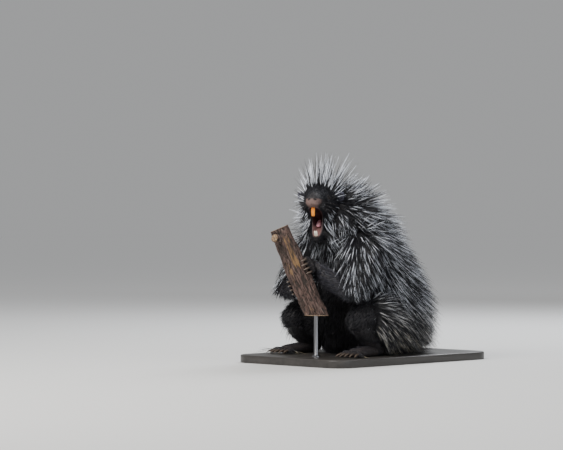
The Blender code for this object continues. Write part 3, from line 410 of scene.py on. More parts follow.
class PorcupineMount(PropertyGroup):
    ridge_depth: FloatProperty(
        name="Ridge depth", description="Depth of the bark's ridges", default=0.0021, unit="LENGTH")
    ridge_size: FloatProperty(
        name="Ridge size", description="Ridges for each metre round the branch", default=260.0)
    crack_depth: FloatProperty(
        name="Crack depth", description="Depth of the cracks along the grain", default=0.0014,
        unit="LENGTH")
    bark_colour: FloatVectorProperty(
        name="Bark", description="Weathered brown of the bark", default=(0.108, 0.062, 0.050),
        size=3, subtype="COLOR")
    ochre_colour: FloatVectorProperty(
        name="Bare wood", description="Ochre where the bark has worn off", default=(0.36, 0.205, 0.080),
        size=3, subtype="COLOR")
    stand_colour: FloatVectorProperty(
        name="Stand", description="Satin paint of the base", default=(0.030, 0.027, 0.025),
        size=3, subtype="COLOR")


class PorcupineStage(PropertyGroup):
    floor_colour: FloatVectorProperty(
        name="Floor", description="Pale floor", default=(0.62, 0.62, 0.61), size=3, subtype="COLOR")
    key_power: FloatProperty(
        name="Key light", description="Power of the key light", default=122.0, unit="POWER")
    fill_power: FloatProperty(
        name="Fill light", description="Power of the fill light", default=24.0, unit="POWER")
    rim_power: FloatProperty(
        name="Rim light", description="Power of the light behind", default=85.0, unit="POWER")
    sky_strength: FloatProperty(name="Sky", description="Strength of the even light", default=0.42)


def head_frame():
    """From the head's own frame to the frame of the solids."""
    turned = Matrix.Rotation(HEAD_TURN, 4, "Z") @ Matrix.Rotation(-HEAD_LIFT, 4, "X")
    return SITTING @ Matrix.Translation(NOSE_TIP) @ turned


def jaw_swing():
    """From the jaw's own frame to the head's."""
    return Matrix.Translation(JAW_HINGE) @ Matrix.Rotation(GAPE, 4, "X")


def on_side(point, side):
    return Vector((point[0] if side == "left" else -point[0], point[1], point[2]))


def sided(stations, side):
    return stations if side == "left" else [(-x, *rest) for x, *rest in stations]


def moved(points, matrix):
    """An array of points carried by a matrix."""
    array = np.array(matrix)
    return points @ array[:3, :3].T + array[:3, 3]


def turned(vectors, matrix):
    return vectors @ np.array(matrix.to_3x3()).T


def unit(vectors):
    return vectors / np.maximum(np.linalg.norm(vectors, axis=-1, keepdims=True), 1e-12)


def dots(a, b):
    return np.sum(a * b, axis=-1)


def by(value, table):
    """Reads a table of (place, value) pairs between its rows."""
    return np.interp(value, [row[0] for row in table], [row[1] for row in table])


def link(mesh, name):
    obj = bpy.data.objects.new(name, mesh)
    bpy.context.scene.collection.objects.link(obj)
    return obj


def mesh_object(name, points, faces):
    """A mesh object from a list of points and of faces of any number of corners."""
    mesh = bpy.data.meshes.new(name)
    mesh.from_pydata([tuple(p) for p in points], [], faces)
    mesh.update()
    return link(mesh, name)


def discard(*objs):
    for obj in objs:
        mesh = obj.data
        bpy.data.objects.remove(obj, do_unlink=True)
        bpy.data.meshes.remove(mesh)


def apply_modifiers(obj):
    graph = bpy.context.evaluated_depsgraph_get()
    mesh = bpy.data.meshes.new_from_object(obj.evaluated_get(graph))
    obj.modifiers.clear()
    worn = obj.data
    obj.data = mesh
    if worn.users == 0:
        bpy.data.meshes.remove(worn)


def between(u, a, b, c, d):
    """A smooth curve through b and c, read at the share u of the way, where a and d lie beyond."""
    bend, sway = 2 * a - 5 * b + 4 * c - d, 3 * b - a - 3 * c + d
    return 0.5 * (2 * b + (c - a) * u + bend * u**2 + sway * u**3)


class Form:
    """A rounded form through stations, in a frame of its own, for meshes and for the lie of the coat."""

    def __init__(self, part, stations, depth=0.0, across=(1, 0, 0), square=2.0, ends=(0.8, 0.8),
                 matrix=None, distal=1, rows=40, sides=48):
        self.part, self.distal, self.ends = part, distal, ends
        knots = np.array(stations, float)
        last = len(knots) - 1
        padded = np.vstack([2 * knots[0] - knots[1], knots, 2 * knots[-1] - knots[-2]])
        t = np.linspace(0, last, rows)
        k = np.minimum(t.astype(int), last - 1)
        smooth = between((t - k)[:, None], *(padded[k + i] for i in range(4)))
        self.centre, self.widths = smooth[:, :3], np.maximum(smooth[:, 3:6] - depth, 0.0004)
        step = np.arange(rows)
        ahead = self.centre[np.minimum(step + 1, rows - 1)] - self.centre[np.maximum(step - 1, 0)]
        self.ahead = unit(ahead)
        across = np.array(across, float)
        self.wide = unit(across - dots(self.ahead, across)[:, None] * self.ahead)
        self.deep = np.cross(self.ahead, self.wide)
        turns = np.arange(sides) * 2 * math.pi / sides
        self.cos = np.copysign(np.abs(np.cos(turns)) ** (2 / square), np.cos(turns))
        self.sin = np.copysign(np.abs(np.sin(turns)) ** (2 / square), np.sin(turns))
        self.matrix = matrix if matrix is not None else SITTING

    def ring(self, row, centre, share=1.0):
        wide, near, far = self.widths[row] * share
        x = self.cos[:, None] * wide * self.wide[row]
        y = (self.sin * np.where(self.sin > 0, far, near))[:, None] * self.deep[row]
        return centre + x + y

    def mesh(self):
        """Points and faces of the closed form, with a dome at each end."""
        rows = len(self.centre)
        rings = [self.ring(row, self.centre[row]) for row in range(rows)]
        poles = []
        for end, way in ((0, -1), (-1, 1)):
            height = way * self.ends[end] * min(self.widths[end][1:])
            cap = []
            for turn in np.radians((12, 24, 36, 48, 60, 72, 82)):
                middle = self.centre[end] + self.ahead[end] * height * math.sin(turn)
                cap.append(self.ring(end, middle, math.cos(turn)))
            rings = cap[::-1] + rings if end == 0 else rings + cap
            poles.append(self.centre[end] + self.ahead[end] * height)
        return ring_mesh(rings, poles)

    def axis(self):
        """Places, tangents towards the free end, both square directions and radii along the form."""
        places = moved(self.centre, self.matrix)
        ahead, wide, deep = (turned(v, self.matrix) for v in (self.ahead, self.wide, self.deep))
        return places, ahead * self.distal, wide, deep, self.widths.mean(axis=1)


def ring_mesh(rings, poles):
    """Points and faces that join rings of points and close both ends to a pole."""
    sides = len(rings[0])
    points = np.vstack([*rings, *[np.array(p)[None] for p in poles]])
    faces = []
    for row in range(len(rings) - 1):
        a, b = row * sides, (row + 1) * sides
        for k in range(sides):
            n = (k + 1) % sides
            faces.append((a + k, a + n, b + n, b + k))
    last = (len(rings) - 1) * sides
    for k in range(sides):
        n = (k + 1) % sides
        faces.append((len(points) - 2, n, k))
        faces.append((len(points) - 1, last + k, last + n))
    return points, faces


def tube_form(part, path, radii, across=(0, 0, 1), sides=20, rows=12, matrix=None, ends=(0.9, 0.9)):
    stations = [(*p, r, r, r) for p, r in zip(path, radii)]
    return Form(part, stations, across=across, matrix=matrix, rows=rows, sides=sides, ends=ends)


def joined(name, shapes):
    """One object that holds several closed shapes, given as points and faces."""
    points, faces, start = [], [], 0
    for shape_points, shape_faces in shapes:
        points.append(shape_points)
        faces += [tuple(start + k for k in face) for face in shape_faces]
        start += len(shape_points)
    obj = mesh_object(name, np.vstack(points), faces)
    face_out(obj)
    return obj


def face_out(obj):
    shell = bmesh.new()
    shell.from_mesh(obj.data)
    bmesh.ops.recalc_face_normals(shell, faces=shell.faces)
    shell.to_mesh(obj.data)
    shell.free()


def ellipsoid(centre, radii, columns=28, rows=18):
    """Points and faces of a closed ball stretched along its own axes."""
    rings = []
    for row in range(1, rows):
        polar = math.pi * row / rows
        turns = np.arange(columns) * 2 * math.pi / columns
        ring = np.stack([np.cos(turns) * math.sin(polar), np.sin(turns) * math.sin(polar),
                         np.full(columns, -math.cos(polar))], axis=1)
        rings.append(np.array(centre) + ring * np.array(radii))
    up = np.array((0, 0, radii[2]))
    return ring_mesh(rings, (np.array(centre) - up, np.array(centre) + up))


def fuse(obj, voxel, smoothing):
    """Melts the shapes of an object into one closed surface and softens the joins."""
    melt = obj.modifiers.new("Melt", "REMESH")
    melt.mode = "VOXEL"
    melt.voxel_size = voxel
    melt.use_smooth_shade = True
    soften = obj.modifiers.new("Soften", "SMOOTH")
    soften.factor = 0.5
    soften.iterations = smoothing
    apply_modifiers(obj)


def boolean(obj, others, operation):
    """One union or difference with a group of closed objects, which are then removed."""
    group = bpy.data.collections.new("Group")
    for other in others:
        group.objects.link(other)
    step = obj.modifiers.new("Step", "BOOLEAN")
    step.operation = operation
    step.operand_type = "COLLECTION"
    step.solver = "MANIFOLD"
    step.collection = group
    apply_modifiers(obj)
    discard(*others)
    bpy.data.collections.remove(group)


def read(items, field, width=1, kind=float):
    """One field of a list of mesh parts as an array, with a row for each part."""
    values = np.empty(len(items) * width, kind)
    items.foreach_get(field, values)
    return values.reshape(-1, width) if width > 1 else values


def points_of(mesh, field="co"):
    """The points of a mesh as an array, or their normals."""
    return read(mesh.vertices, field, 3)


def set_points(mesh, points):
    mesh.vertices.foreach_set("co", points.astype(np.float32).ravel())
    mesh.update()


def store(mesh, name, values):
    """Keeps one number for each point of a mesh under a name that the materials read."""
    layer = mesh.attributes.get(name) or mesh.attributes.new(name, "FLOAT", "POINT")
    layer.data.foreach_set("value", np.asarray(values, np.float32))


def branch_point(height):
    return BRANCH_GRIP + BRANCH_AXIS * float(height)


def branch_swell(height, angle):
    """Share by which the wood swells or thins at a place, least where the paws hold it."""
    turn = math.radians(angle)
    waves = math.sin(43 * height + 2 * turn) + 0.8 * math.sin(88 * height - 3 * turn + 1.3)
    waves += 0.5 * math.sin(140 * height + 5 * turn + 0.4)
    held = min(1.0, max(0.0, (0.075 - abs(height + 0.025)) / 0.03))
    return waves * (0.050 - 0.034 * held)


def branch_radius(height):
    return BRANCH_RADIUS + (BRANCH_TAPER - BRANCH_RADIUS) * max(0.0, height) / BRANCH_TOP


def round_branch(height, angle, distance):
    """A point at a compass angle round the branch, this far from its axis."""
    east = (Vector((1, 0, 0)) - BRANCH_AXIS.x * BRANCH_AXIS).normalized()
    north = BRANCH_AXIS.cross(east)
    turn = math.radians(angle)
    return branch_point(height) + (east * math.cos(turn) + north * math.sin(turn)) * float(distance)


def grip(side):
    """Height of a forepaw on the branch, the angles of its palm and fingertips, and their way round."""
    height, palm, end = PAWS[side]
    return height, palm, end, 1 if end > palm else -1


def palm_form(side):
    height, palm, _, turn = grip(side)
    thick, thin = PALM_HALF_THICK - PAW_DEPTH, PALM_HALF_THICK * PALM_PRESS - PAW_DEPTH
    middle = branch_radius(height) + PALM_HALF_THICK * PALM_PRESS
    width = FINGER_SPACING * FINGER_COUNT / 2 - PAW_DEPTH
    heel_angle, heel_off, heel_width, heel_thick = PALM_HEEL
    stations = [
        (*round_branch(height - WRIST_DROP, palm + turn * heel_angle, middle + heel_off),
         heel_width, heel_thick, heel_thick),
        (*round_branch(height, palm + turn * PALM_SPAN[0], middle), width * 0.94, thick, thick),
        (*round_branch(height, palm + turn * PALM_SPAN[1], middle), width, thin, thin),
    ]
    return Form("forepaw_" + side, stations, across=BRANCH_AXIS, ends=(0.8, 0.7), rows=14, sides=32)


def centred(count):
    """Numbers that step by one and whose mean is zero."""
    return [k - (count - 1) / 2 for k in range(count)]


def finger_reach(side, k):
    """Height of a finger on the branch, and the angle round it that its tip reaches."""
    height, _, end, turn = grip(side)
    return height + centred(FINGER_COUNT)[k] * FINGER_SPACING, end - turn * FINGER_FAN * abs(k - LONG_FINGER)


def finger_forms(side):
    _, palm, _, turn = grip(side)
    forms = []
    for k in range(FINGER_COUNT):
        rise, reach = finger_reach(side, k)
        angles = np.linspace(palm - turn * PALM_SPAN[0], reach, len(FINGER_TAPER))
        radii = [FINGER_RADIUS * share - PAW_DEPTH for share in FINGER_TAPER]
        bark = branch_radius(rise)
        path = [round_branch(rise, a, bark + r * 0.92 + PAW_DEPTH) for a, r in zip(angles, radii)]
        forms.append(tube_form("finger", path, radii, sides=18, rows=14))
    return forms


def forearm_form(side):
    height, palm, _, turn = grip(side)
    wrist = round_branch(height - WRIST_DROP, palm - turn * WRIST_ANGLE, branch_radius(height) + WRIST_OFF)
    elbow = on_side(ELBOW, side)
    middle = elbow.lerp(wrist, 0.5) - Vector((0, 0, FOREARM_SAG))
    rings = (
        (elbow, ELBOW_RADIUS, ELBOW_RADIUS, ARM_DEPTH),
        (middle, *FOREARM_RADII, FOREARM_DEPTH),
        (wrist, *WRIST_RADII, WRIST_DEPTH),
    )
    stations = [(*place, wide - depth, deep - depth, deep - depth) for place, wide, deep, depth in rings]
    return Form("forearm_" + side, stations, across=(0, 0, 1), rows=20)


def foot_form(side):
    return Form("hind_foot_" + side, sided(HIND_FOOT, side), PAW_DEPTH, ends=(0.9, 0.8), rows=16, sides=32)


def hind_toes(side):
    """Root, step to the tip and direction of each hind toe."""
    toes = []
    for spread in centred(HIND_TOE_COUNT):
        fan = math.radians(HIND_TOE_FAN * spread + HIND_TOE_OUT)
        way = on_side((math.sin(fan), -math.cos(fan), 0), side)
        out, ahead, up = HIND_TOE_ROOT
        root = on_side((out + HIND_TOE_SPREAD * spread, ahead, up), side)
        toes.append((root, way * (HIND_TOE_LENGTH - HIND_TOE_SHORTER * abs(spread)), way))
    return toes


def toe_forms(side):
    down, forms = Vector((0, 0, -1)), []
    for root, step, _ in hind_toes(side):
        path = (root, root + step * 0.55 - down * HIND_TOE_ARCH, root + step + down * HIND_TOE_ARCH)
        radii = [HIND_TOE_RADIUS * share - PAW_DEPTH for share in (1.0, 1.0, 0.82)]
        forms.append(tube_form("toe", path, radii, sides=18, rows=10))
    return forms


def body_forms():
    """The forms of trunk, tail and limbs, each less the depth of the short coat."""
    forms = [
        Form("trunk", TRUNK, TRUNK_DEPTH, ends=(0.62, 0.5), distal=-1, rows=60, sides=72),
        Form("tail", TAIL, TAIL_DEPTH, ends=(0.5, 1.0)),
    ]
    for side in SIDES:
        forms.append(Form("thigh_" + side, sided(THIGH, side), THIGH_DEPTH, ends=(0.6, 0.8)))
        forms.append(Form("shank_" + side, sided(SHANK, side), SHANK_DEPTH))
        forms.append(Form("upper_arm_" + side, sided(UPPER_ARM, side), ARM_DEPTH, ends=(0.6, 0.8)))
        forms.append(forearm_form(side))
    return forms


def head_forms(matrix):
    """The forms of skull and cheeks in the head's frame, and of the jaw in its own."""
    return [
        Form("head", HEAD, HEAD_DEPTH * 0.5, square=2.15, ends=(0.5, 0.8), matrix=matrix, rows=60, sides=64),
        Form("cheeks", CHEEKS, HEAD_DEPTH, ends=(0.6, 0.8), matrix=matrix, rows=24),
        Form("jaw", JAW, JAW_DEPTH, square=2.2, ends=(0.4, 0.7), matrix=matrix @ jaw_swing(), distal=-1),
    ]


def ear_form(side):
    sign = 1 if side == "left" else -1
    way = Vector((sign * math.sin(EAR_SPLAY), 0, math.cos(EAR_SPLAY)))
    root = on_side(EAR_ROOT, side)
    path = [root - way * 0.002, root + way * EAR_HEIGHT * 0.5, root + way * EAR_HEIGHT]
    return tube_form("ear_" + side, path, (0.006, 0.011, 0.010), matrix=head_frame(), across=(0, 1, 0))


def coat_forms():
    """All forms that own a stretch of coat."""
    forms = head_forms(head_frame()) + body_forms()
    for side in SIDES:
        forms += [palm_form(side), foot_form(side), ear_form(side)]
    return forms


def lip_loop():
    """Points round the lips, the way out from their middle at each, and their thickness."""
    left = np.array(LIPS)
    knots = np.vstack([left, left[-2:0:-1] * (-1, 1, 1, 1)])
    t = np.linspace(0, len(knots), LIP_SAMPLES, endpoint=False)
    k = t.astype(int)
    smooth = between((t % 1)[:, None], *(knots[(k + step) % len(knots)] for step in (-1, 0, 1, 2)))
    out = (smooth[:, :3] - (0.0, 0.0, MOUTH_MIDDLE_Z)) * (1.0, 0.0, 0.35)
    return smooth[:, :3], unit(out), smooth[:, 3]


def hoop_mesh(centres, radii, out, up, sides=12):
    """Points and faces of a closed tube along a closed loop."""
    turns = np.arange(sides) * 2 * math.pi / sides
    rings = [c + r * (np.cos(turns)[:, None] * o + np.sin(turns)[:, None] * w)
             for c, r, o, w in zip(centres, radii, out, up)]
    faces = []
    for row in range(len(rings)):
        a, b = row * sides, (row + 1) % len(rings) * sides
        faces += [(a + k, b + k, b + (k + 1) % sides, a + (k + 1) % sides) for k in range(sides)]
    return np.vstack(rings), faces


def lip_shape():
    loop, out, thick = lip_loop()
    along = unit(np.roll(loop, -1, axis=0) - np.roll(loop, 1, axis=0))
    return hoop_mesh(loop, thick, out, np.cross(along, out))


def cheek_shape():
    """The cheeks that join the upper jaw to the lower one behind the lips."""
    loop, out, _ = lip_loop()
    side = np.abs(out[:, :1])
    rings = []
    for back, grow in ((0.0016, 0.0022), (0.0060, 0.0050), (0.0140, 0.0080), (0.0260, 0.0100)):
        rings.append(loop + out * (0.0008 + grow * side) + (0, back, 0))
    return ring_mesh(rings, (rings[0].mean(axis=0), rings[-1].mean(axis=0)))


def tunnel_shape():
    """The inside of the mouth: palate, cheeks and floor run back to the throat."""
    loop, out, _ = lip_loop()
    top = np.clip((loop[:, 2:] - THROAT[2]) / 0.026, 0, 1)
    rings = [loop - out * 0.0004 + np.hstack([top * 0, top * 0 - 0.013, top * -0.004])]
    for share in (0.0, 0.12, 0.30, 0.50, 0.70, 0.86):
        step = THROAT - loop
        step[:, :2] *= share
        step[:, 2:] *= share ** (1 + top)
        lower = (1 - top) * min(1, share * 6) * np.array((0, 0.0020, -0.0020))
        rings.append(loop - out * 0.0006 + step + lower)
    return ring_mesh(rings, (rings[0].mean(axis=0), THROAT + (0, 0.008, 0)))


def lid_shape(side):
    """A raised rim round the eye, in the head's frame."""
    outward = on_side(EYE_OUTWARD, side)
    along = Vector((0, 0, 1)).cross(outward).normalized()
    up = outward.cross(along)
    centre = on_side(EYE_CENTRE, side) + outward * LID_RISE
    turns = np.linspace(0, 2 * math.pi, 41)[:-1, None]
    out = np.cos(turns) * along * LID_STRETCH[0] + np.sin(turns) * up * LID_STRETCH[1]
    radii = LID_RADIUS * (1 + 0.25 * np.clip(np.sin(turns[:, 0]), 0, 1))
    return hoop_mesh(np.array(centre) + out * LID_RING, radii, unit(out), [np.array(outward)] * len(out))


def ear_shapes(side):
    """The outer ball and the cup of an ear, in the head's frame."""
    sign = 1 if side == "left" else -1
    tilt = Matrix.Translation(on_side(EAR_ROOT, side)) @ Matrix.Rotation(sign * EAR_SPLAY, 4, "Y")
    tilt = tilt @ Matrix.Rotation(sign * EAR_TURN, 4, "Z")
    outer = ellipsoid((0, 0, EAR_HEIGHT - EAR_RADII[2]), EAR_RADII)
    cup = ellipsoid(CUP_CENTRE, CUP_RADII)
    return (moved(outer[0], tilt), outer[1]), (moved(cup[0], tilt), cup[1])


def nostril_shape(side):
    """A slit that slants up and out."""
    points, faces = ellipsoid((0, 0, 0), NOSTRIL_RADII)
    slant = Matrix.Rotation(NOSTRIL_SLANT if side == "left" else -NOSTRIL_SLANT, 4, "Y")
    return moved(points, Matrix.Translation(on_side(NOSTRIL, side)) @ slant), faces


def socket_shapes():
    return [ellipsoid(on_side(EYE_CENTRE, side), (EYE_RADIUS + 0.0003,) * 3) for side in SIDES]


def bumped(points, normals):
    """Points pushed out or in round a few places on both sides of the head."""
    points = points.copy()
    for place, reach, height in FACE_RELIEF:
        for side in SIDES if place[0] else ("left",):
            gap = np.linalg.norm(points - np.array(on_side(place, side)), axis=1)
            points += normals * (height * np.exp(-((gap / reach) ** 2) * 2))[:, None]
    return points


def make_head_skin(values):
    skull, cheeks, jaw = (form.mesh() for form in head_forms(Matrix()))
    shapes = [skull, cheeks, (moved(jaw[0], jaw_swing()), jaw[1]), lip_shape(), cheek_shape()]
    cutters = [tunnel_shape()]
    for side in SIDES:
        outer, cup = ear_shapes(side)
        shapes += [lid_shape(side), outer]
        cutters += [cup, nostril_shape(side)]
    head = joined("HeadSkin", shapes)
    fuse(head, values.head_detail, 3)
    boolean(head, [joined("Cutter", [shape]) for shape in cutters], "DIFFERENCE")
    fuse(head, values.head_detail, 2)
    set_points(head.data, bumped(points_of(head.data), points_of(head.data, "normal")))
    boolean(head, [joined("Cutter", [shape]) for shape in socket_shapes()], "DIFFERENCE")
    head.data.transform(head_frame())
    return head


def make_part_skin(name, forms, voxel, smoothing):
    """The skin over a group of forms in the sitting frame, as one closed surface."""
    part = joined(name, [form.mesh() for form in forms])
    part.data.transform(SITTING)
    fuse(part, voxel, smoothing)
    return part


def distance_to(points, shapes):
    """Distance from each point to the nearest of some closed shapes."""
    trees = [BVHTree.FromPolygons([tuple(p) for p in s[0]], s[1]) for s in shapes]
    return np.array([min(tree.find_nearest(p)[3] for tree in trees) for p in points])


def near_path(points, path):
    """Distance from each point to a polyline."""
    best = np.full(len(points), np.inf)
    for a, b in zip(path, path[1:]):
        along = b - a
        t = np.clip(dots(points - a, along) / dots(along, along), 0, 1)
        best = np.minimum(best, np.linalg.norm(points - a - along * t[:, None], axis=1))
    return best


def fade(value, near, far):
    """1 up to near and 0 beyond far, with a smooth fall between."""
    t = np.clip((far - value) / (far - near), 0, 1)
    return t * t * (3 - 2 * t)


def mark_skin(skin):
    """Marks lips, mouth lining, muzzle, paws and bare places, which colour the skin and keep fur off."""
    points = points_of(skin.data)
    local = moved(points, head_frame().inverted())
    x, y, z = np.abs(local[:, 0]), local[:, 1], local[:, 2]
    head = (y < 0.10) & (x < 0.05) & (z > -0.09) & (z < 0.05)
    near, loop = local[head], lip_loop()[0]
    openings = [nostril_shape(side) for side in SIDES] + socket_shapes()
    lining, lips, holes = np.zeros((3, len(points)))
    lining[head] = fade(distance_to(near, [tunnel_shape()]), 0.0004, 0.0013)
    # Near the openings of nostrils and eye sockets the skin is painted near-black: partly dark skin, partly
    # painted shade in the hollows.
    holes[head] = fade(distance_to(near, openings), 0.0004, 0.0014)
    lips[head] = fade(near_path(near, [*loop, loop[0]]), 0.0014, 0.0026)
    lips *= fade(z, -0.046, -0.034)
    wide = 0.0070 + 0.009 * fade(-z, -0.004, 0.012)
    muzzle = fade(y, 0.010, 0.022) * fade(z, 0.0074, 0.0092) * fade(-z, 0.016, 0.026)
    marks = {
        "lining": lining, "holes": holes, "lips": np.clip(lips - lining, 0, 1),
        # The floor of the mouth keeps the lining's pink; the rest of the lining is painted shade.
        "floor": lining * (fade(z, -0.052, -0.044) * fade(-z, 0.071, 0.075)),
        "muzzle": muzzle * fade(x, wide, wide + 0.006), "paw": paw_share(points),
        "bare": np.clip(np.maximum(np.maximum(lining, holes * 1.2), lips * 0.9), 0, 1),
    }
    for name, values in marks.items():
        store(skin.data, name, values)


def paw_share(points):
    """1 on the paws, fading out over wrist and ankle."""
    share = np.zeros(len(points))
    for side in SIDES:
        for form in (palm_form(side), foot_form(side)):
            places = form.axis()[0]
            reach = np.min(np.linalg.norm(points[:, None] - places[None], axis=2), axis=1)
            share = np.maximum(share, fade(reach, 0.026, 0.037))
    return share


def join_skin(values):
    """Unites the skins of body, head and paws, thins the result and sets it on the base."""
    body = make_part_skin("porcupine_skin", body_forms(), values.body_detail, 8)
    parts = [make_head_skin(values)]
    for side in SIDES:
        parts.append(make_part_skin("Forepaw", [palm_form(side), *finger_forms(side)], values.paw_detail, 2))
        parts.append(make_part_skin("HindFoot", [foot_form(side), *toe_forms(side)], values.paw_detail, 2))
    boolean(body, parts, "UNION")
    keep_largest(body)
    body.data.calc_loop_triangles()
    thin = body.modifiers.new("Thin", "DECIMATE")
    thin.ratio = min(1.0, SKIN_SHARE * MOST_PIECE_TRIANGLES / len(body.data.loop_triangles))
    apply_modifiers(body)
    points = points_of(body.data)
    points[:, 2] = np.maximum(points[:, 2], SEAT)
    set_points(body.data, points)
    body.data.materials.clear()
    return body


def keep_largest(obj):
    """Drops any closed scrap that a union leaves inside or beside the main surface."""
    shell = bmesh.new()
    shell.from_mesh(obj.data)
    unseen, islands = set(shell.verts), []
    while unseen:
        start = unseen.pop()
        island, front = [start], [start]
        while front:
            for edge in front.pop().link_edges:
                for vert in edge.verts:
                    if vert in unseen:
                        unseen.discard(vert)
                        island.append(vert)
                        front.append(vert)
        islands.append(island)
    islands.sort(key=len)
    for island in islands[:-1]:
        bmesh.ops.delete(shell, geom=island, context="VERTS")
    shell.to_mesh(obj.data)
    shell.free()


def ride(obj, slot, *nodes):
    """Ties a finished piece to the body and hides the solids that it stands for; the slot is not used."""
    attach(obj, "root")
    if nodes:
        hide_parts(*nodes)


def dress(obj, material, slot, *nodes, sharp=None):
    """Shades a piece, smooth but for edges past an angle, gives it its material and ties it."""
    obj.data.shade_smooth()
    if sharp:
        obj.data.set_sharp_from_angle(angle=math.radians(sharp))
    obj.data.materials.append(material)
    ride(obj, slot, *nodes)


class Nodes:
    """A node tree in the making, with short words for the nodes that it uses most."""

    def __init__(self, tree):
        self.tree = tree

    def put(self, socket, value):
        """Joins another node's output to a socket, or sets the socket to a plain value."""
        if isinstance(value, bpy.types.NodeSocket):
            self.tree.links.new(value, socket)
        else:
            socket.default_value = (*value, 1.0) if socket.type == "RGBA" else value

    def node(self, kind, inputs=None, **settings):
        node = self.tree.nodes.new(kind)
        for key, value in settings.items():
            setattr(node, key, value)
        for key, value in (inputs or {}).items():
            self.put(node.inputs[key], value)
        return node

    def mark(self, name):
        """A number that the mesh keeps for each point."""
        return self.node("ShaderNodeAttribute", attribute_name=name).outputs["Fac"]

    def maths(self, operation, a, b=0.0, c=0.0):
        return self.node("ShaderNodeMath", {0: a, 1: b, 2: c}, operation=operation).outputs[0]

    def vector(self, operation, a, b=(0, 0, 0), output=0):
        return self.node("ShaderNodeVectorMath", {0: a, 1: b}, operation=operation).outputs[output]

    def scaled(self, vector, share):
        inputs = {0: vector, "Scale": share}
        return self.node("ShaderNodeVectorMath", inputs, operation="SCALE").outputs[0]

    def span(self, value, low, high, out_low=0.0, out_high=1.0):
        """Reads a value between two limits as a smooth share."""
        inputs = {"Value": value, "From Min": low, "From Max": high, "To Min": out_low, "To Max": out_high}
        return self.node("ShaderNodeMapRange", inputs, interpolation_type="SMOOTHSTEP").outputs[0]

    def mix(self, factor, a, b, kind="MIX"):
        inputs = {0: factor, 6: a, 7: b}
        return self.node("ShaderNodeMix", inputs, data_type="RGBA", blend_type=kind).outputs[2]

    def shaded(self, colour, shade):
        """A colour times a number that changes over the surface."""
        grey = self.node("ShaderNodeCombineColor", {n: shade for n in ("Red", "Green", "Blue")})
        return self.mix(1.0, colour, grey.outputs[0], "MULTIPLY")

    def place(self):
        return self.node("ShaderNodeTexCoord").outputs["Object"]

    def noise(self, scale, detail=4.0, stretch=(1, 1, 1), turn=(0, 0, 0)):
        """Noise in the object's own space, turned and then stretched."""
        turned = self.node("ShaderNodeMapping", {"Vector": self.place(), "Rotation": turn}).outputs[0]
        laid = self.node("ShaderNodeMapping", {"Vector": turned, "Scale": stretch}).outputs[0]
        inputs = {"Vector": laid, "Scale": scale, "Detail": detail, "Roughness": 0.55}
        return self.node("ShaderNodeTexNoise", inputs).outputs["Fac"]

    def weathering(self, broad, fine):
        """The mask and the height of the shared Weathering group, at two scales."""
        group = bpy.data.node_groups.get("Weathering") or weathering_group()
        inputs = {"Broad Scale": broad, "Fine Scale": fine}
        return self.node("ShaderNodeGroup", inputs, node_tree=group).outputs[:2]


class Finish(Nodes):
    """A material in the making, round one Principled shader."""

    def __init__(self, name, roughness, metallic=0.0):
        self.material = bpy.data.materials.new(name)
        self.material.use_nodes = True
        super().__init__(self.material.node_tree)
        self.shader = self.tree.nodes["Principled BSDF"]
        self.set(Roughness=roughness, Metallic=metallic)

    def set(self, **values):
        """Sets sockets of the shader, named with _ for each space."""
        for label, value in values.items():
            self.put(self.shader.inputs[label.replace("_", " ")], value)

    def bump(self, height, strength, distance):
        inputs = {"Height": height, "Strength": strength, "Distance": distance}
        self.set(Normal=self.node("ShaderNodeBump", inputs).outputs[0])


def toned(colour, share):
    """A colour made lighter or darker."""
    return [channel * share for channel in colour]


def shared(name, make):
    """A material that several pieces wear, made at its first use."""
    return bpy.data.materials.get(name) or make()


def new_group(kind, name, inputs, outputs):
    """A node group with named sockets, with its start node's outputs and its end node's inputs."""
    group = bpy.data.node_groups.new(name, kind)
    for way, sockets in (("INPUT", inputs), ("OUTPUT", outputs)):
        for label, socket in sockets.items():
            group.interface.new_socket(label, in_out=way, socket_type="NodeSocket" + socket)
    start, end = group.nodes.new("NodeGroupInput"), group.nodes.new("NodeGroupOutput")
    return Nodes(group), start.outputs, end.inputs


def weathering_group():
    """Broad and fine unevenness of a surface, as a mask and a height."""
    scales = {"Broad Scale": "Float", "Fine Scale": "Float"}
    results = {"Mask": "Float", "Height": "Float"}
    group, start, end = new_group("ShaderNodeTree", "Weathering", scales, results)
    place = group.place()
    broad, fine = (
        group.node("ShaderNodeTexNoise", {"Vector": place, "Scale": scale, "Detail": detail}).outputs["Fac"]
        for scale, detail in ((start[0], 3.0), (start[1], 5.0)))
    group.put(end[0], group.span(broad, 0.35, 0.65))
    group.put(end[1], group.maths("MULTIPLY_ADD", fine, 0.6, broad))
    return group.tree


def banded_hair_group():
    """Colour of a hair from its root to its tip: dark, then pale from its band on."""
    inputs = dict.fromkeys(HAIR_MARKS, "Float") | dict.fromkeys(("Dark", "Pale", "Warm"), "Color")
    group, start, end = new_group("ShaderNodeTree", "Banded Hair", inputs, {"Color": "Color"})
    along, band, warmth, shade, tip, dark, pale, warm = start[:8]
    light = group.span(group.maths("SUBTRACT", along, band), -0.05, 0.13)
    dark_end = group.span(group.maths("SUBTRACT", along, tip), 0.0, 0.06, 1.0, 0.0)
    tint = group.mix(warmth, pale, warm)
    colour = group.mix(group.maths("MULTIPLY", light, dark_end), dark, tint)
    group.put(end[0], group.shaded(colour, shade))
    return group.tree


def coat_material():
    """Stiff glossy hair, dark at the root, with pale tips where the strands say so."""
    values, made = bpy.context.scene.porcupine_coat, Finish("porcupine_coat", 0.42)
    inputs = {label: made.mark(label.lower()) for label in HAIR_MARKS}
    inputs |= {"Dark": values.dark_colour, "Pale": values.pale_colour, "Warm": values.warm_colour}
    group = bpy.data.node_groups.get("Banded Hair") or banded_hair_group()
    made.set(
        Base_Color=made.node("ShaderNodeGroup", inputs, node_tree=group).outputs[0],
        Roughness=made.span(made.mark("along"), 0.0, 1.0, 0.50, 0.34),
        Specular_IOR_Level=0.6)
    return made.material


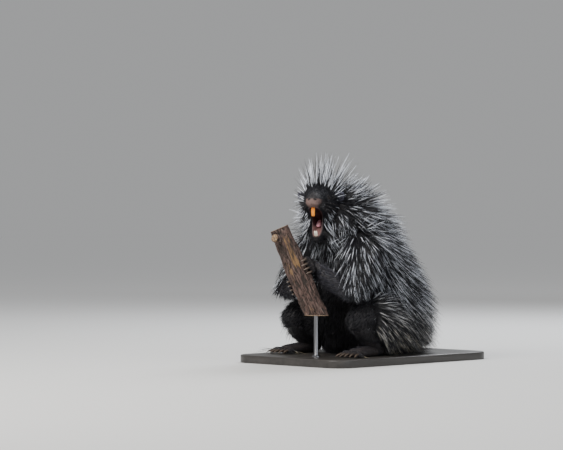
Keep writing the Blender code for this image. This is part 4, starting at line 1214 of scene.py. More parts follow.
def face_fur_material():
    """Short soft fur: near black, brown round the nose."""
    scene, made = bpy.context.scene, Finish("face_fur", 0.62)
    dark, brown = scene.porcupine_coat.dark_colour, scene.porcupine_skin.muzzle_colour
    colour = made.shaded(made.mix(made.mark("warmth"), dark, brown), made.mark("shade"))
    made.set(Base_Color=colour, Specular_IOR_Level=0.25)
    return made.material


def skin_material():
    """Skin under the coat, with brown muzzle, bare lips and dark pads; the mouth's red lining is near-black
    painted shade but for its pink floor, and nostrils and eye sockets are darkened with painted shade.
    """
    values, made = bpy.context.scene.porcupine_skin, Finish("porcupine_skin", 0.6)
    mask, height = made.weathering(60.0, 900.0)
    streaks = made.noise(520.0, 3.0, (1, 1, 0.25))
    lip = made.mix(mask, values.lip_colour, toned(values.lip_colour, 0.62))
    # Painted shade: the mouth's lining is near-black, all but its pink floor.
    lining = made.mix(mask, values.mouth_shade_colour, toned(values.mouth_shade_colour, 0.55))
    base = made.mix(mask, values.fur_colour, toned(values.fur_colour, 1.9))
    for mark, colour in (
            ("muzzle", values.muzzle_colour), ("lips", lip),
            ("lining", made.mix(made.mark("floor"), lining, values.floor_colour)),
            # Dark skin with painted shade inside the nostrils and round the eyes.
            ("holes", (0.008, 0.006, 0.006)),
            ("paw", made.mix(mask, (0.016, 0.012, 0.012), (0.034, 0.026, 0.024)))):
        base = made.mix(made.mark(mark), base, colour)
    wet = made.maths("MAXIMUM", made.mark("lining"), made.maths("MULTIPLY", made.mark("lips"), 0.5))
    made.set(Base_Color=base, Roughness=made.span(wet, 0.0, 1.0, 0.62, 0.28))
    made.bump(made.maths("ADD", streaks, height), 0.5, 0.0006)
    return made.material


def horn_material():
    """Horn of the claws, paler towards the tip, with a dark grain."""
    dark, made = bpy.context.scene.porcupine_skin.claw_colour, Finish("claw_horn", 0.32)
    grain = made.noise(700.0, 3.0)
    colour = made.mix(made.span(made.mark("along"), 0.25, 1.0), dark, toned(dark, 2.6))
    colour = made.mix(made.span(grain, 0.35, 0.7, 0.0, 0.5), colour, (0.02, 0.015, 0.012))
    made.set(Base_Color=colour)
    made.bump(grain, 0.3, 0.0003)
    return made.material


def whisker_material():
    made = Finish("whisker", 0.35)
    along = made.span(made.mark("along"), 0.3, 1.0)
    made.set(Base_Color=made.mix(along, (0.012, 0.010, 0.010), (0.06, 0.05, 0.05)))
    return made.material


def eye_material():
    """Black-brown eye with a faint iris under a wet surface."""
    made = Finish("porcupine_eye", 0.05)
    facing, fibres = made.mark("facing"), made.noise(900.0, 2.0)
    iris = made.mix(fibres, (0.010, 0.005, 0.003), (0.022, 0.011, 0.006))
    colour = made.mix(made.span(facing, 0.90, 0.93), iris, (0.002, 0.002, 0.002))
    colour = made.mix(made.span(facing, 0.62, 0.72, 1.0, 0.0), colour, (0.006, 0.004, 0.004))
    made.set(Base_Color=colour, IOR=1.34)
    return made.material


def enamel_material(name, colour, stain):
    made = Finish(name, 0.28)
    streaks = made.noise(500.0, 4.0, (1, 1, 0.18))
    mixed = made.mix(made.span(streaks, 0.35, 0.7, 0.0, 0.6), colour, stain)
    mixed = made.mix(made.span(made.mark("along"), 0.0, 0.45, 0.7, 0.0), mixed, stain)
    made.set(Base_Color=mixed)
    made.bump(streaks, 0.25, 0.0003)
    return made.material


def tongue_material():
    made = Finish("tongue", 0.35)
    mask, height = made.weathering(160.0, 1900.0)
    colour = made.mix(mask, (0.70, 0.36, 0.42), (0.54, 0.22, 0.28))
    made.set(Base_Color=colour, Subsurface_Weight=0.15, Subsurface_Scale=0.003)
    made.bump(height, 0.55, 0.0005)
    return made.material


def bark_material():
    """Weathered bark: brown ridges, grey crests, cracks made near-black as painted shade, and ochre where it
    has worn through.
    """
    values, made = bpy.context.scene.porcupine_mount, Finish("bark", 0.85)
    mask, height = made.weathering(24.0, 420.0)
    relief = made.mark("relief")
    grain = BRANCH_AXIS.rotation_difference(Vector((0, 0, 1))).to_euler()
    fibres = made.noise(260.0, 6.0, (1, 1, 0.10), grain)
    base = made.mix(mask, values.bark_colour, toned(values.bark_colour, 0.55))
    base = made.mix(made.span(relief, 0.52, 0.85, 0.0, 0.7), base, (0.185, 0.135, 0.112))
    # Painted shade: near-black in the cracks between the ridges.
    base = made.mix(made.span(relief, 0.18, 0.42, 1.0, 0.0), base, (0.022, 0.015, 0.011))
    patches = made.span(made.noise(42.0, 5.0, (1, 1, 0.30), grain), 0.60, 0.66, 0.0, 0.7)
    patches = made.maths("MULTIPLY", patches, made.span(relief, 0.3, 0.6))
    torn = made.noise(120.0, 5.0, (1, 1, 0.16), grain)
    ragged = made.maths("MULTIPLY_ADD", made.mark("worn"), 0.40, torn)
    patches = made.maths("MAXIMUM", patches, made.span(ragged, 0.74, 0.90, 0.0, 0.85))
    wood = made.mix(fibres, values.ochre_colour, toned(values.ochre_colour, 0.42))
    base = made.mix(patches, base, wood)
    base = made.mix(made.span(fibres, 0.3, 0.75, 0.35, 0.0), base, (0.03, 0.02, 0.015))
    cut = made.mix(ring_mask(made), (0.42, 0.30, 0.19), (0.20, 0.125, 0.07))
    base = made.mix(made.mark("sawn"), base, cut)
    splinter = made.mix(made.span(fibres, 0.35, 0.65), (0.36, 0.25, 0.15), (0.12, 0.075, 0.045))
    base = made.mix(made.mark("broken"), base, splinter)
    made.set(Base_Color=base)
    made.bump(made.maths("ADD", fibres, height), 0.7, 0.0012)
    return made.material


def ring_mask(made):
    """Growth rings round the axis of the branch."""
    off = made.vector("SUBTRACT", made.place(), SITTING @ BRANCH_GRIP)
    reach = made.vector("LENGTH", made.vector("CROSS_PRODUCT", off, BRANCH_AXIS), output="Value")
    wobble = made.maths("MULTIPLY", made.noise(90.0, 2.0), 0.0022)
    turns = made.maths("MULTIPLY", made.maths("ADD", reach, wobble), 3400.0)
    return made.span(made.maths("SINE", turns), 0.1, 0.9)


def stand_material():
    """Satin paint over the faint grain of a board."""
    paint, made = bpy.context.scene.porcupine_mount.stand_colour, Finish("stand_paint", 0.38)
    mask, height = made.weathering(9.0, 700.0)
    grain = made.noise(60.0, 6.0, (1, 0.06, 1))
    made.set(
        Base_Color=made.mix(made.span(grain, 0.3, 0.75), paint, toned(paint, 1.7)),
        Roughness=made.span(mask, 0.0, 1.0, 0.34, 0.46))
    made.bump(made.maths("MULTIPLY_ADD", grain, 2.0, height), 0.12, 0.0006)
    return made.material


def steel_material():
    """Drawn steel with fine streaks along the rod."""
    made = Finish("rod_steel", 0.32, 1.0)
    streaks = made.noise(1400.0, 3.0, (1, 1, 0.02))
    made.set(
        Base_Color=made.mix(streaks, (0.20, 0.20, 0.21), (0.30, 0.30, 0.31)),
        Roughness=made.span(streaks, 0.2, 0.8, 0.26, 0.40))
    return made.material


def strand_tree():
    """A tree that turns lines with a width at each point into tapering closed strands."""
    sizes = {"Geometry": "Geometry", "Sides": "Int", "Flatness": "Float", "Finish": "Material"}
    group, start, end = new_group("GeometryNodeTree", "Tapered Strands", sizes, {"Geometry": "Geometry"})
    line = group.node("GeometryNodeMeshToCurve", {"Mesh": start[0]})
    circle = group.node("GeometryNodeCurvePrimitiveCircle", {"Resolution": start[1], "Radius": 1.0})
    scale = group.node("ShaderNodeCombineXYZ", {0: 1.0, 1: start[2], 2: 1.0})
    oval = group.node("GeometryNodeTransform", {"Geometry": circle.outputs[0], "Scale": scale.outputs[0]})
    width = group.node("GeometryNodeInputNamedAttribute", {"Name": "width"}, data_type="FLOAT")
    sweep = {"Curve": line.outputs[0], "Profile Curve": oval.outputs[0], "Scale": width.outputs[0],
             "Fill Caps": True}
    body = group.node("GeometryNodeCurveToMesh", sweep)
    smooth = group.node("GeometryNodeSetShadeSmooth", {"Geometry": body.outputs[0]})
    end_tree(group, smooth, start[3], end)
    return group.tree


def end_tree(group, last, material, end):
    """Ends a geometry tree in Realize Instances and Set Material."""
    real = group.node("GeometryNodeRealizeInstances", {"Geometry": last.outputs[0]}).outputs[0]
    finish = group.node("GeometryNodeSetMaterial", {"Geometry": real, "Material": material})
    group.put(end[0], finish.outputs[0])


def socket_id(tree, label):
    return next(item.identifier for item in tree.interface.items_tree
                if item.item_type == "SOCKET" and item.in_out == "INPUT" and item.name == label)


def run_tree(obj, tree, inputs):
    """Runs a geometry tree on an object and keeps the result as its plain mesh."""
    step = obj.modifiers.new("Tree", "NODES")
    step.node_group = tree
    for label, value in inputs.items():
        step[socket_id(tree, label)] = value
    apply_modifiers(obj)


def strands(name, lines, sides, flatness, finish):
    """Tapering strands along lines of (points, widths)."""
    points, edges, widths, along = [], [], [], []
    for path, radii in lines:
        start = len(points)
        points += [tuple(p) for p in path]
        edges += [(start + k, start + k + 1) for k in range(len(path) - 1)]
        widths += list(radii)
        along += list(np.linspace(0, 1, len(path)))
    mesh = bpy.data.meshes.new(name)
    mesh.from_pydata(points, edges, [])
    store(mesh, "width", widths)
    store(mesh, "along", along)
    obj = link(mesh, name)
    tree = bpy.data.node_groups.get("Tapered Strands") or strand_tree()
    run_tree(obj, tree, {"Sides": sides, "Flatness": flatness, "Finish": finish})
    return obj


def curved(path, radii, count):
    """A path and its radii read at more points of a smooth curve."""
    form = Form("line", [(*p, r, r, r) for p, r in zip(path, radii)], rows=count, sides=3)
    return form.centre, form.widths[:, 0]


def claw_lines():
    """Curved lines with the radii of the claws of all four paws, in the sitting frame."""
    lines, down = [], Vector((0, 0, -1))
    for side in SIDES:
        for root, step, way in hind_toes(side):
            base = root + step
            path = [base + HIND_CLAW_LENGTH * (way * at + down * CLAW_CURVE * at * abs(at)) for at, _ in CLAW]
            lines.append(curved(path, [HIND_CLAW_RADIUS * wide for _, wide in CLAW], 16))
        turn = grip(side)[3]
        for k in range(FINGER_COUNT):
            rise, reach = finger_reach(side, k)
            bark = branch_radius(rise)
            ahead = turn * math.degrees(FORE_CLAW_LENGTH / (bark + 0.004))
            path = [round_branch(rise, reach + ahead * share, bark + off) for share, _, off in FORE_CLAW]
            lines.append(curved(path, [FORE_CLAW_RADIUS * wide for _, wide, _ in FORE_CLAW], 16))
    return lines


def whisker_lines(values):
    """Stiff whiskers that fan out of the pads beside the nose and droop a little."""
    draw = np.random.default_rng(SEED)
    lines = []
    for side in SIDES:
        for k in range(values.whisker_count):
            row, column = k % 4, k // 4
            root = on_side((0.0150 + 0.0008 * column, 0.0090 + 0.0042 * column, 0.0010 - 0.0030 * row), side)
            way = (1.0, 0.25 + 0.22 * column + draw.normal(0, 0.08), -0.28 * row + 0.10)
            way = on_side(way, side).normalized()
            length = values.whisker_length * (0.62 + 0.13 * column + draw.uniform(-0.08, 0.08))
            path = [root + way * length * share + WHISKER_FALL * share * share * length * 0.5
                    for share in np.linspace(-0.05, 1, WHISKER_POINTS)]
            thinner = 1 - 0.85 * np.linspace(0, 1, WHISKER_POINTS)
            lines.append((path, WHISKER_RADIUS * thinner))
    return lines


class Surface:
    """The finished skin read as arrays, from which every coat is sown."""

    def __init__(self, obj):
        mesh = obj.data
        mesh.calc_loop_triangles()
        self.corners = read(mesh.loop_triangles, "vertices", 3, np.int64)
        self.points, self.normals = points_of(mesh), points_of(mesh, "normal")
        self.marks = {name: read(mesh.attributes[name].data, "value") for name in ("bare", "muzzle", "paw")}
        a, b, c = (self.points[self.corners[:, k]] for k in range(3))
        self.areas = np.linalg.norm(np.cross(b - a, c - a), axis=1) / 2
        self.tree = BVHTree.FromObject(obj, bpy.context.evaluated_depsgraph_get())
        self.forms = coat_forms()
        axes = [form.axis() for form in self.forms]
        *self.axis, self.radii = (np.concatenate([axis[k] for axis in axes]) for k in range(5))
        self.owner = np.concatenate([np.full(len(axis[0]), k) for k, axis in enumerate(axes)])
        self.share = np.concatenate([np.linspace(0, 1, len(axis[0])) for axis in axes])
        self.names = [form.part for form in self.forms]

    def sow(self, spacing, seed, box=None):
        """Roots spread evenly over the skin, about one for each square of the spacing."""
        draw = np.random.default_rng(seed)
        areas = self.areas
        if box is not None:
            centres = self.points[self.corners].mean(axis=1)
            inside = np.all((centres > box[0]) & (centres < box[1]), axis=1)
            areas = np.where(inside, areas, 0.0)
        count = int(3.2 * areas.sum() / spacing**2)
        picks = np.searchsorted(np.cumsum(areas), draw.random(count) * areas.sum())
        picks = np.minimum(picks, len(areas) - 1)
        u, v = draw.random(count), draw.random(count)
        flip = u + v > 1
        u, v = np.where(flip, 1 - u, u), np.where(flip, 1 - v, v)
        weights = np.stack([1 - u - v, u, v], axis=1)
        corners = self.corners[picks]
        places = np.einsum("nk,nkj->nj", weights, self.points[corners])
        cells = np.floor(places / spacing).astype(np.int64)
        keep = np.sort(np.unique(cells, axis=0, return_index=True)[1])
        roots = Roots(self, places[keep], draw)
        roots.normal = unit(np.einsum("nk,nkj->nj", weights[keep], self.normals[corners[keep]]))
        for name, values in self.marks.items():
            setattr(roots, name, np.einsum("nk,nk->n", weights[keep], values[corners[keep]]))
        roots.find_owner()
        return roots


class Roots:
    """Roots of a coat: place, normal, owning form, lie and the marks of the skin there."""

    def __init__(self, surface, place, draw):
        self.surface, self.place, self.draw = surface, place, draw

    def find_owner(self):
        surface = self.surface
        nearest = np.empty(len(self.place), np.int64)
        for start in range(0, len(self.place), 8000):
            block = self.place[start:start + 8000]
            ratio = np.linalg.norm(block[:, None] - surface.axis[0][None], axis=2) / surface.radii[None]
            nearest[start:start + 8000] = np.argmin(ratio, axis=1)
        self.form = surface.owner[nearest]
        self.share = surface.share[nearest]
        off = self.place - surface.axis[0][nearest]
        self.angle = np.arctan2(dots(off, surface.axis[3][nearest]), dots(off, surface.axis[2][nearest]))
        flow = surface.axis[1][nearest]
        self.flow = unit(flow - dots(flow, self.normal)[:, None] * self.normal)
        self.sitting = moved(self.place, SITTING.inverted())
        self.head = moved(self.place, head_frame().inverted())

    def only(self, keep):
        """The same roots with the rest left out."""
        kept = Roots(self.surface, self.place[keep], self.draw)
        for name in ("normal", "form", "share", "angle", "flow", "sitting", "head", "bare", "muzzle", "paw"):
            setattr(kept, name, getattr(self, name)[keep])
        return kept

    def on(self, *parts):
        """Which roots lie on forms whose names start with one of these words."""
        wanted = [k for k, name in enumerate(self.surface.names) if name.startswith(parts)]
        return np.isin(self.form, wanted)

    def tangent(self, direction):
        """A direction laid flat on the skin at each root."""
        spread = np.broadcast_to(np.array(direction, float), self.normal.shape)
        return unit(spread - dots(spread, self.normal)[:, None] * self.normal)

    def random(self, low, high):
        return self.draw.uniform(low, high, len(self.place))

    def wander(self, amount):
        return self.draw.normal(0, amount, self.place.shape)


# Rings of a strand as shares of its length, and their share of its radius.
QUILL_SHAPE = ((0.0, 0.30, 0.68), (0.75, 1.0, 0.66))
HAIR_SHAPE = ((0.0, 0.38, 0.74), (1.0, 0.86, 0.56))
FUR_SHAPE = ((0.0, 0.52), (1.0, 0.74))
STRAND_SIDES = 3
MOST_SINK = 0.0012
SINK_SHARE = 0.07


def strand_pattern(rings):
    """Faces of one strand, and the side and ring that each corner's patch place comes from."""
    faces, marks = [], []
    for ring in range(rings - 1):
        for k in range(STRAND_SIDES):
            n = (k + 1) % STRAND_SIDES
            a, b = ring * STRAND_SIDES + k, ring * STRAND_SIDES + n
            c, d = b + STRAND_SIDES, a + STRAND_SIDES
            faces += [(a, b, c), (a, c, d)]
            low, next_low, next_high, high = (k, ring), (k + 1, ring), (k + 1, ring + 1), (k, ring + 1)
            marks += [(low, next_low, next_high), (low, next_high, high)]
    last, tip = (rings - 1) * STRAND_SIDES, rings * STRAND_SIDES
    for k in range(STRAND_SIDES):
        faces.append((last + k, last + (k + 1) % STRAND_SIDES, tip))
        marks.append(((k, rings - 1), (k + 1, rings - 1), (k + 0.5, rings)))
    faces.append((2, 1, 0))
    marks.append(((2, 0), (1, 0), (0, 0)))
    return np.array(faces), np.array(marks, float)


class Strands:
    """A set of strands ready to be made into meshes."""

    def __init__(self, roots, way, length, sag, radius, shape):
        count = len(roots.place)
        self.roots, self.shape, self.way = roots, shape, unit(way)
        self.length, self.radius = (np.zeros(count) + size for size in (length, radius))
        down = np.zeros((count, 3)) + (0, 0, -1)
        self.bend = (down - dots(down, self.way)[:, None] * self.way) * np.asarray(sag)[..., None]
        self.drift = np.zeros((count, 3))
        self.lock, self.warmth = np.zeros((2, count))
        self.band, self.tip = np.full((2, count), NEVER)
        self.shade = np.ones(count)

    def keep(self, wanted):
        self.roots = self.roots.only(wanted)
        for name in ("way", "length", "radius", "bend", "drift", "lock", "band", "tip", "warmth", "shade"):
            setattr(self, name, getattr(self, name)[wanted])

    def centre(self, share):
        """Where the strands' middle lies at a share of their length."""
        step = self.way * share + self.bend * share**2
        sunk = self.roots.normal * np.minimum(MOST_SINK, self.length * SINK_SHARE)[:, None]
        place = self.roots.place - sunk + step * self.length[:, None] + self.drift * share**1.5
        place[:, 2] = np.maximum(place[:, 2], SEAT + 0.0012)
        return place

    def gather(self, size, pull):
        """Draws the ends of neighbouring strands together into locks, each with a number of its own."""
        cells = np.floor(self.roots.place / size + self.roots.wander(0.22)).astype(np.int64)
        lock = np.unique(cells, axis=0, return_inverse=True)[1].ravel()
        tips = self.centre(1.0)
        middle = np.stack([np.bincount(lock, along) for along in tips.T], axis=1)
        drift = ((middle / np.bincount(lock)[:, None])[lock] - tips) * np.asarray(pull)[..., None]
        self.drift = drift - dots(drift, self.way)[:, None] * self.way
        self.lock = self.roots.draw.random(lock.max() + 1)[lock]

    def clear(self):
        """Drops strands that would cross the branch, the eyes or the open mouth."""
        frame_in, axis = head_frame().inverted(), np.array(BRANCH_AXIS)
        low = (BRANCH_FOOT_Z - BRANCH_GRIP.z) / BRANCH_AXIS.z
        front, back = MOUTH_FLOOR[0][0], MOUTH_FLOOR[1][0]
        wanted = np.ones(len(self.length), bool)
        for share in (0.35, 0.7, 1.0):
            place = self.centre(share)
            off = moved(place, SITTING.inverted()) - np.array(BRANCH_GRIP)
            height = off @ axis
            beside = np.linalg.norm(off - height[:, None] * axis, axis=1) < BRANCH_RADIUS + BRANCH_CLEARANCE
            wanted &= ~(beside & (height < BRANCH_TOP + 0.002) & (height > low - 0.01))
            local = moved(place, frame_in)
            x, y, z = local.T
            for side in SIDES:
                eye = np.array(on_side(EYE_CENTRE + EYE_OUTWARD * EYE_FRONT, side))
                wanted &= np.linalg.norm(local - eye, axis=1) > EYE_CLEARANCE
            gape = (np.abs(x) < MOUTH_HALF_WIDTH) & (y > front) & (y < back)
            wanted &= ~(gape & (z < MOUTH_ROOF) & (z > by(y, MOUTH_FLOOR)))
        self.keep(wanted)

    def within_reach(self):
        """Shortens strands that would end further out than the solids' box and a little."""
        low, high = (np.array(corner) for corner in CAD_BOX)
        margin = (high - low) * REACH_MARGIN
        low[2] = SEAT + 0.004 + margin[2]
        root, tip = self.roots.place, self.centre(1.0)
        step = np.where(np.abs(tip - root) < 1e-6, 1e-6, tip - root)
        limit = np.where(step > 0, high + margin - root, low - margin - root)
        self.length *= np.clip(np.min(limit / step, axis=1), 0.05, 1.0)

    def out_of_skin(self):
        """Shortens strands whose ends would sink into another part of the skin."""
        tree = self.roots.surface.tree
        for share, cut in ((0.55, 0.0), (1.0, 0.62)):
            place = self.centre(share)
            buried = np.zeros(len(place), bool)
            for k, spot in enumerate(place):
                found = tree.find_nearest(spot, 0.03)
                if found[0] is not None and (Vector(spot) - found[0]).dot(found[1]) < -0.0005:
                    buried[k] = True
            self.length[buried] *= cut
        self.keep(self.length > 0.002)

    def meshes(self, name, finish, slot):
        """Makes the strands into pieces, each under the limit."""
        most = MOST_PIECE_TRIANGLES // len(strand_pattern(len(self.shape[0]))[0])
        for number, start in enumerate(range(0, len(self.length), most)):
            piece = self.piece(f"{name}_{number + 1}", slice(start, start + most))
            dress(piece, finish, slot)

    def grow(self, name):
        """Makes a short dark coat, clear of the branch, the eyes and the mouth."""
        self.clear()
        self.meshes(name, shared("porcupine_coat", coat_material), "dark_coat")

    def grow_long(self, name):
        """Makes a long coat, also kept within the model's box and out of the skin."""
        self.within_reach()
        self.clear()
        self.out_of_skin()
        self.meshes(name, shared("porcupine_coat", coat_material), "quilled_coat")

    def piece(self, name, block):
        """One mesh of the strands of a block, with their marks and their patches of the map."""
        shares, widths = self.shape
        faces, marks = strand_pattern(len(shares))
        count = len(self.length[block])
        rings, corner_count = len(shares), len(shares) * STRAND_SIDES + 1
        side = unit(np.cross(self.way[block], np.array((0.31, 0.52, 0.79))))
        up = np.cross(self.way[block], side)
        points = np.empty((count, corner_count, 3))
        turns = np.arange(STRAND_SIDES) * 2 * math.pi / STRAND_SIDES
        for ring, (share, width) in enumerate(zip(shares, widths)):
            middle = self.centre(share)[block]
            radius = (self.radius[block] * width)[:, None]
            for k, turn in enumerate(turns):
                out = math.cos(turn) * side + math.sin(turn) * up
                points[:, ring * STRAND_SIDES + k] = middle + out * radius
        points[:, -1] = self.centre(1.0)[block]
        corners = (np.arange(count)[:, None, None] * corner_count + faces[None]).reshape(-1, 3)
        mesh = bpy.data.meshes.new(name)
        mesh.vertices.add(count * corner_count)
        mesh.vertices.foreach_set("co", points.astype(np.float32).ravel())
        mesh.loops.add(corners.size)
        mesh.loops.foreach_set("vertex_index", corners.astype(np.int32).ravel())
        mesh.polygons.add(len(corners))
        mesh.polygons.foreach_set("loop_start", np.arange(0, corners.size, 3, dtype=np.int32))
        mesh.update(calc_edges=True)
        along = np.repeat([*shares, 1.0], [STRAND_SIDES] * rings + [1])
        store(mesh, "along", np.tile(along, count))
        for label in ("band", "tip", "warmth", "shade"):
            store(mesh, label, np.repeat(getattr(self, label)[block], corner_count))
        root_u, root_v = self.unwrap(block)
        patch = np.stack([marks[..., 0] / STRAND_SIDES, marks[..., 1] / rings], axis=-1) * PATCH
        uv = np.stack([root_u, root_v], axis=1)[:, None, None] * (1 - PATCH) + patch[None]
        layer = mesh.uv_layers.new(name="OFBake")
        layer.data.foreach_set("uv", uv.astype(np.float32).ravel())
        return link(mesh, name)

    def unwrap(self, block):
        """Places of the roots on a flat map of the skin, one strip for each form, as wide as its share."""
        form, angle, share = self.roots.form[block], self.roots.angle[block], self.roots.share[block]
        u = np.empty(len(form))
        edge = 0.0
        for number in np.unique(form):
            mine = form == number
            wide = mine.mean()
            u[mine] = edge + (angle[mine] / (2 * math.pi) + 0.5) * wide
            edge += wide
        jitter = np.random.default_rng(SEED).uniform(-0.01, 0.01, len(form))
        return u, np.clip(share + jitter, 0, 1)


def back_lie(roots):
    """Lie, length and sag of the long coat of neck, chest and rump, and where it grows."""
    z, normal = roots.sitting[:, 2], roots.normal
    level = np.hypot(normal[:, 0], normal[:, 1])
    behind = np.where(z < NAPE_Z, normal[:, 1] / np.maximum(level, 1e-6), normal[:, 1])
    grows = (behind >= by(z, BARE_FRONT) - CHEST_SPREAD) & ~((level < 0.15) & (z < NAPE_Z))
    flank = 1 - np.maximum(-0.3, behind)
    lean = by(z, BACK_LEAN) + 0.42 * flank
    way = unit(normal + lean[:, None] * TAILWARD)
    length = by(z, BACK_LENGTH) * (1 - 0.32 * flank) + TRUNK_DEPTH * dots(way, normal)
    return grows, way, length, by(z, BACK_SAG)


def crown_lie(roots):
    """The crest that fans up from the crown and stands back from the cheeks."""
    local = roots.head
    across, back, up = turned(np.eye(3), head_frame())
    normal = roots.normal - CREST_NARROWING * (roots.normal @ across)[:, None] * across
    side = np.minimum(1.0, np.abs(local[:, 0]) / HEAD_HALF_WIDTH)
    cheek = np.clip((-0.002 - local[:, 2]) / 0.028, 0, 1)
    start = 0.056 + 0.002 * side**2 - 0.012 * cheek
    grows = (local[:, 2] > -0.052) & (local[:, 1] > start)
    grow = np.clip((local[:, 1] - start) / 0.030, 0, 1)
    low = np.clip((local[:, 2] + 0.034) / 0.050, 0, 1)
    beside = side**2 * (1 - np.clip((local[:, 2] - 0.010) / 0.020, 0, 1))
    lean = 0.30 + np.where(local[:, 0] > 0, 0.90, 0.30) * beside
    way = unit(normal + lean[:, None] * back + (0.30 * low - 0.10 - 0.30 * cheek)[:, None] * up)
    length = (0.036 + 0.054 * grow) * (0.66 + 0.34 * low) * (1 - 0.20 * np.clip(-local[:, 0] / 0.030, 0, 1))
    return grows, way, length, 0.06


def tail_lie(roots):
    share = np.clip((roots.sitting[:, 1] - 0.15) / 0.16, 0, 1)
    along = np.stack([-0.20 - 0.25 * share, np.ones(len(share)), np.full(len(share), -0.10)], axis=1)
    way = unit(roots.normal * 0.80 + unit(along))
    return roots.normal[:, 2] > -0.15, way, 0.046 - 0.010 * share, 0.10


def arm_lie(roots):
    out = np.sign(roots.sitting[:, 0])
    facing = roots.normal[:, 0] * out + roots.normal[:, 1] * 0.2
    height = roots.sitting[:, 2]
    way = unit(roots.normal * 0.52 + np.array((0, 0.12, -0.9)))
    length = by(height, ((0.155, 0.018), (0.185, 0.034), (0.24, 0.058), (0.28, 0.066)))
    reach = by(height, ((0.17, 0.15), (0.24, -0.35)))
    return (facing > reach) & (height > 0.155), way, length, 0.12


def thigh_lie(roots):
    out = np.sign(roots.sitting[:, 0])
    facing = roots.normal[:, 0] * out + roots.normal[:, 1] * 0.35 + roots.normal[:, 2] * 0.15
    grows = (facing > 0.30) & (roots.sitting[:, 1] > -0.035)
    way = unit(roots.normal * 0.80 + np.array((0, 0.35, -0.55)))
    return grows, way, 0.042, 0.12


LONG_COATS = (
    (("trunk",), back_lie),
    (("head", "cheeks"), crown_lie),
    (("tail",), tail_lie),
    (("upper_arm",), arm_lie),
    (("thigh",), thigh_lie),
)


def long_coat(roots):
    """The rule of each region put together: which roots grow, and their lie, length and sag."""
    count = len(roots.place)
    grows, way = np.zeros(count, bool), np.zeros((count, 3))
    length, sag = np.zeros(count), np.zeros(count)
    for parts, rule in LONG_COATS:
        mine = roots.on(*parts)
        found = rule(roots.only(mine))
        grows[mine], way[mine], length[mine], sag[mine] = found
    rise = np.maximum(0, LEAST_RISE - dots(way, roots.normal))
    return grows & (roots.bare < 0.3), unit(way + rise[:, None] * roots.normal), length, sag


def rump_warmth(roots):
    """Straw tint of the long coat, strongest on rump and tail."""
    low = by(roots.sitting[:, 2], ((0.03, 1.0), (0.10, 0.50), (0.17, 0.0)))
    return np.where(roots.on("tail"), 1.0, low)


def long_roots(surface, spacing, seed, head_share):
    """The roots of a long coat, thinned on the head, with their lie, length and sag."""
    roots = surface.sow(spacing, seed)
    grows, way, length, sag = long_coat(roots)
    grows &= ~roots.on(*SKULL) | (roots.random(0, 1) < head_share)
    return roots.only(grows), way[grows], length[grows], sag[grows]


def make_quills(surface):
    values = bpy.context.scene.porcupine_coat
    roots, way, length, sag = long_roots(surface, values.quill_spacing, SEED + 1, 0.80)
    head = roots.on(*SKULL)
    way = unit(way + roots.wander(0.07))
    length = length * roots.random(np.where(head, 0.55, 0.70), np.where(head, 1.18, 1.13))
    pale = roots.random(0, 1) < np.where(head, 0.74, 0.33)
    strand = Strands(roots, way, length, sag, values.quill_radius * np.where(pale, 1.0, 0.8), QUILL_SHAPE)
    strand.gather(0.011, np.where(head, 0.22, 0.36))
    band = np.where(head, 0.14, 0.28) + 0.26 * strand.lock + roots.random(0.0, 0.14)
    strand.band = np.where(pale, band, NEVER)
    strand.tip = np.where(roots.random(0, 1) < 0.35, roots.random(0.86, 0.94), NEVER)
    strand.warmth = np.clip(rump_warmth(roots) * roots.random(0.5, 1.1), 0, 1)
    strand.shade = roots.random(0.72, 1.08)
    strand.grow_long("quills")


def make_guard_hair(surface):
    """Long fine hairs between and over the quills, some silver tipped and some dark."""
    values = bpy.context.scene.porcupine_coat
    roots, way, length, sag = long_roots(surface, values.hair_spacing, SEED + 2, 0.60)
    head = roots.on(*SKULL)
    lift = np.where(head, 0.04, 0.20) * roots.random(0.0, 1.4)
    way = unit(way + roots.flow * lift[:, None] + roots.wander(0.09))
    length = length * by(roots.sitting[:, 2], HAIR_LONGER) * roots.random(0.74, 1.22)
    strand = Strands(roots, way, length, sag + 0.08, values.hair_radius, HAIR_SHAPE)
    strand.gather(0.0085, np.where(head, 0.30, 0.55))
    pale = 0.5 * strand.lock + roots.random(0, 0.5) < np.where(roots.on("upper_arm", "thigh"), 0.24, 0.28)
    strand.band = np.where(pale, 0.26 + 0.5 * strand.lock + roots.random(0.0, 0.10), NEVER)
    strand.warmth = np.clip(rump_warmth(roots) * roots.random(0.3, 1.0), 0, 1)
    strand.shade = roots.random(0.7, 1.1)
    strand.grow_long("guard_hair")


